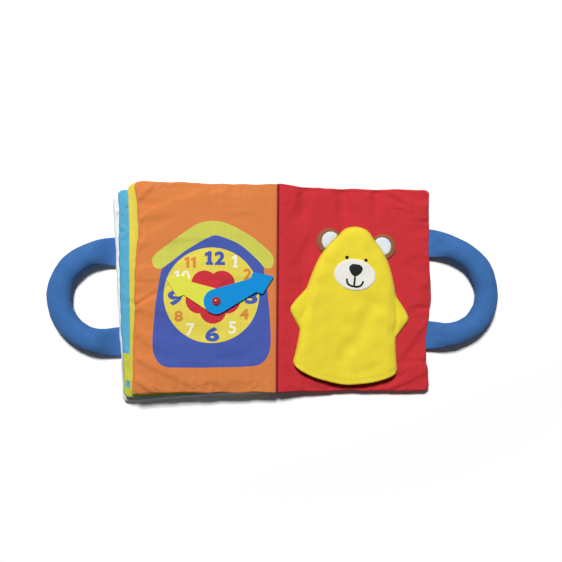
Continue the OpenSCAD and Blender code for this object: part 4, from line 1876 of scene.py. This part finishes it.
    def ears(self) -> None:
        """Builds the two ears and their linings."""
        head = self.outline()
        over = self.gap + self.lining_rise
        for side, word, ear in zip((-1, 1), ("left", "right"), self.ear_centres):
            lining = (ear[0] - self.lining_shift[0] * side, ear[1] + self.lining_shift[1])
            for centre, radius, low, thick, finish, slot, node in (
                (ear, self.ear_r, self.gap, self.ear_t, BROWN_FLEECE, "brown_fleece", f"{word}_ear"),
                (lining, self.lining_r, over, self.lining_t, LINING_FLEECE, "white_fleece", f"{word}_ear_lining"),
            ):
                ring = oval(centre, radius, radius, 72)
                flat, faces = triangulate(ring, self.dots(ring, 0.6), [head])
                faces = faces[~inside(flat[faces].mean(axis=1), [head])]
                plan = self.on_page(flat)
                round_edge = swell(radius - np.linalg.norm(flat - np.array(centre), axis=1), 1.6)
                tucked = 0.4 + 0.6 * swell(distance_to(flat, head, closed=True), 5.0)
                ground = self.page(plan) + low - (low - self.gap) * (1 - tucked)
                top = ground + thick * (0.25 + 0.75 * round_edge) * tucked
                piece = slab(f"{node}_cloth", plan, faces.tolist(), top, ground, finish)
                settle(piece, self.body, (node,))

    def patch(
        self, name: str, outline: Array, centre: Point, surface: Surface,
        thick: float, round_mm: float, finish: Finish, rings: int = 9,
    ) -> Piece:
        """Builds a flat patch with a rounded edge, laid on a surface.

        Args:
            name: Name of the piece.
            outline: Closed outline in the puppet's own frame.
            centre: Middle of the outline.
            surface: Height of what it lies on.
            thick: Its thickness.
            round_mm: Width of its rounded edge.
            finish: Its finish.
            rings: Rings of points from its middle to its edge.

        Returns:
            The patch.
        """
        middle = np.array(centre, float)
        count = len(outline)
        shares = np.sin(np.linspace(0, math.pi / 2, rings + 1))[1:]
        flat = np.concatenate([middle[None]] + [middle + (outline - middle) * s for s in shares])
        plan = self.on_page(flat)
        ground = surface(plan) + 0.03
        top = ground + thick * (0.15 + 0.85 * swell(distance_to(flat, outline, closed=True), round_mm))
        number = 1 + np.arange(rings * count).reshape(rings, count)
        fan = [(0, int(a), int(b)) for a, b in zip(number[0], np.roll(number[0], -1))]
        faces = fan + grid_faces(np.concatenate([number, number[:, :1]], 1))
        return slab(name, plan, faces, top, ground - 0.02, finish)

    def features(self, front: Surface) -> None:
        """Builds the muzzle, the nose, the eyes and the smile.

        Args:
            front: Height of the front panel.
        """
        edge = self.on_face(oval((0, 0), *self.muzzle_half, 72))
        muzzle = self.patch("muzzle_cloth", edge, self.muzzle_centre, front, 1.1, 2.2, WHITE_FLEECE, 14)
        settle(muzzle, self.body, ("muzzle_patch",))
        on_muzzle = surface_of(muzzle)
        nose = smooth_curve(self.nose_knots, 6) + np.array(self.nose_centre)
        middle = self.on_face(np.array([self.nose_centre]))[0]
        piece = self.patch("nose_stitching", self.on_face(nose), tuple(middle), on_muzzle, 1.0, 2.4, BLACK_THREAD)
        settle(piece, self.body, ("stitched_nose",))
        for word, at in zip(("left", "right"), self.eye_centres):
            spot = self.on_face(oval(at, *self.eye_half, 24))
            eye = self.patch(f"{word}_eye_stitching", spot, tuple(spot.mean(axis=0)), front, 0.7, 1.2, BLACK_THREAD, 5)
            settle(eye, self.body, ("stitched_eyes",))
        smile = smooth_curve(self.smile_knots, 8, False)
        stem = np.stack([np.linspace(0.2, 0.8, 8), np.linspace(-1.5, -12.1, 8)], 1)
        for word, line in (("smile", smile), ("stem", stem)):
            piece = self.cord_stitch(f"{word}_stitching", self.on_face(line), on_muzzle, self.smile_r)
            settle(piece, self.body, ("stitched_smile",))

    def cord_stitch(
        self, name: str, line: Array, surface: Surface, radius: float
    ) -> Piece:
        """Builds a line of close stitching as a low rounded ridge.

        Args:
            name: Name of the piece.
            line: Its path in the puppet's own frame.
            surface: Height of what it lies on.
            radius: Half its width.

        Returns:
            The ridge.
        """
        plan = self.on_page(line)
        ahead = np.gradient(plan, axis=0)
        ahead /= np.linalg.norm(ahead, axis=1)[:, None]
        across = np.stack([-ahead[:, 1], ahead[:, 0]], 1)
        ground = surface(plan)
        sides = 10
        a = np.arange(sides) * TAU / sides
        thin = np.ones(len(line))
        thin[[0, -1]] = 0.45
        ring = radius * thin[:, None]
        x = plan[:, :1] + across[:, :1] * ring * np.cos(a)
        y = plan[:, 1:] + across[:, 1:] * ring * np.cos(a)
        z = ground[:, None] + 0.2 + 0.75 * ring * np.sin(a)
        return make_piece(name, np.stack([x, y, z], -1).reshape(-1, 3), tube_faces(*x.shape), [BLACK_THREAD])


@dataclass
class Studio:
    """A plain pale floor, soft light from the head of the book, and the camera above it."""

    camera_at: Tuple[float, float, float] = (-0.0509, -0.0041, 0.8571)
    camera_turn_deg: Tuple[float, float, float] = (0.85, -3.73, 0.38)
    focal_px: float = 800.0
    frame_px: float = 562.0
    sensor_mm: float = 36.0
    key_at: Tuple[float, float, float] = (-0.38, 1.38, 2.64)
    key_size: float = 0.5
    key_power: float = 92.0
    world_strength: float = 0.05
    floor_reach: float = 4000.0
    floor_z: float = -0.3
    bounce_albedo: float = 0.6
    seen_albedo: float = 1.14
    fade_shape: Tuple[float, float, float] = (1.0, 1.75, 0.0)
    fade_from: float = 0.27
    fade_to: float = 0.44

    def build(self) -> None:
        """Builds the floor, the lights, the world and the camera."""
        scene = bpy.context.scene
        scene.view_settings.view_transform = "Standard"
        self.floor()
        self.world(scene)
        self.lamp("key_light", self.key_at, self.key_size, self.key_power)
        lens = bpy.data.cameras.new("camera")
        lens.sensor_width = self.sensor_mm
        lens.lens = self.focal_px / self.frame_px * self.sensor_mm
        lens.clip_start = 0.01
        camera = bpy.data.objects.new("camera", lens)
        camera.location = self.camera_at
        camera.rotation_euler = [math.radians(a) for a in self.camera_turn_deg]
        scene.collection.objects.link(camera)
        scene.camera = camera

    def floor(self) -> None:
        """Lays a pale matt floor that keeps the shadows and fades to the white of the surroundings."""
        material = bpy.data.materials.new("matt_white_floor")
        tree = cleared(material)
        matt, pale = (
            add_node(tree, "ShaderNodeBsdfDiffuse", {"Color": (albedo, albedo, albedo, 1)})
            for albedo in (self.bounce_albedo, self.seen_albedo)
        )
        white = add_node(tree, "ShaderNodeEmission", {"Color": (1, 1, 1, 1), "Strength": 1.0})
        place = add_node(tree, "ShaderNodeNewGeometry").outputs["Position"]
        drawn = add_node(tree, "ShaderNodeVectorMath", {"operation": "MULTIPLY", 1: self.fade_shape}, {0: place})
        away = add_node(tree, "ShaderNodeVectorMath", {"operation": "LENGTH"}, {0: drawn.outputs[0]})
        far = add_node(
            tree, "ShaderNodeMapRange",
            {"interpolation_type": "SMOOTHSTEP", "From Min": self.fade_from, "From Max": self.fade_to},
            {"Value": away.outputs["Value"]},
        )
        spread = add_node(
            tree, "ShaderNodeMixShader", links={0: far.outputs[0], 1: pale.outputs[0], 2: white.outputs[0]}
        )
        mix = add_node(
            tree, "ShaderNodeMixShader", links={0: self.seen(tree), 1: matt.outputs[0], 2: spread.outputs[0]}
        )
        add_node(tree, "ShaderNodeOutputMaterial", links={"Surface": mix.outputs[0]})
        square = ((-1, -1), (1, -1), (1, 1), (-1, 1))
        corners = [(x * self.floor_reach, y * self.floor_reach, self.floor_z) for x, y in square]
        floor = mesh_object("floor", np.array(corners), [(0, 1, 2, 3)])
        floor.data.materials.append(material)

    def seen(self, tree: Tree) -> bpy.types.NodeSocket:
        """Adds nodes that tell rays which are seen, straight on or in gloss or glass, from those that only light.

        Args:
            tree: Node tree of the floor or of the world.

        Returns:
            Socket that is 1 for a ray that is seen.
        """
        path = add_node(tree, "ShaderNodeLightPath")
        gloss = add_node(
            tree, "ShaderNodeMath", {"operation": "MAXIMUM"},
            {0: path.outputs["Is Glossy Ray"], 1: path.outputs["Is Transmission Ray"]},
        )
        both = add_node(
            tree, "ShaderNodeMath", {"operation": "MAXIMUM"}, {0: path.outputs["Is Camera Ray"], 1: gloss.outputs[0]}
        )
        return both.outputs[0]

    def world(self, scene: bpy.types.Scene) -> None:
        """Fills the surroundings with even white light.

        Args:
            scene: Scene that they belong to.
        """
        world = bpy.data.worlds.new("studio")
        tree = cleared(world)
        strength = add_node(
            tree, "ShaderNodeMapRange", {"To Min": self.world_strength, "To Max": 1.0}, {"Value": self.seen(tree)}
        )
        sky = add_node(
            tree, "ShaderNodeBackground", {"Color": (1, 1, 1, 1)}, {"Strength": strength.outputs[0]}
        )
        add_node(tree, "ShaderNodeOutputWorld", links={"Surface": sky.outputs[0]})
        scene.world = world

    def lamp(self, name: str, at: Tuple[float, float, float], size: float, power: float) -> None:
        """Hangs a square soft light that points at the book.

        Args:
            name: Name of the light.
            at: Its place in metres.
            size: Its side in metres.
            power: Its power in watts.
        """
        light = bpy.data.lights.new(name, "AREA")
        light.energy = power
        light.size = size
        lamp = bpy.data.objects.new(name, light)
        lamp.location = at
        lamp.rotation_euler = (Vector((0, 0, 0)) - Vector(at)).to_track_quat("-Z", "Y").to_euler()
        bpy.context.scene.collection.objects.link(lamp)


def main() -> None:
    """Builds the book in order."""
    logging.basicConfig(level=logging.INFO, format="%(name)s: %(message)s")
    Studio().build()
    back_cover = ClothPages().build()
    LoopHandle("front_handle_plush", "front_cover", "front_handle", FRONT_LOOP, 31, rim_z=6.9).build()
    LoopHandle("back_handle_plush", "back_cover", "back_handle", BACK_LOOP, 41).build()
    SpineSeam().build()
    PlayClock().build()
    BearPuppet(surface_of(back_cover)).build()


if __name__ == "__main__":
    main()
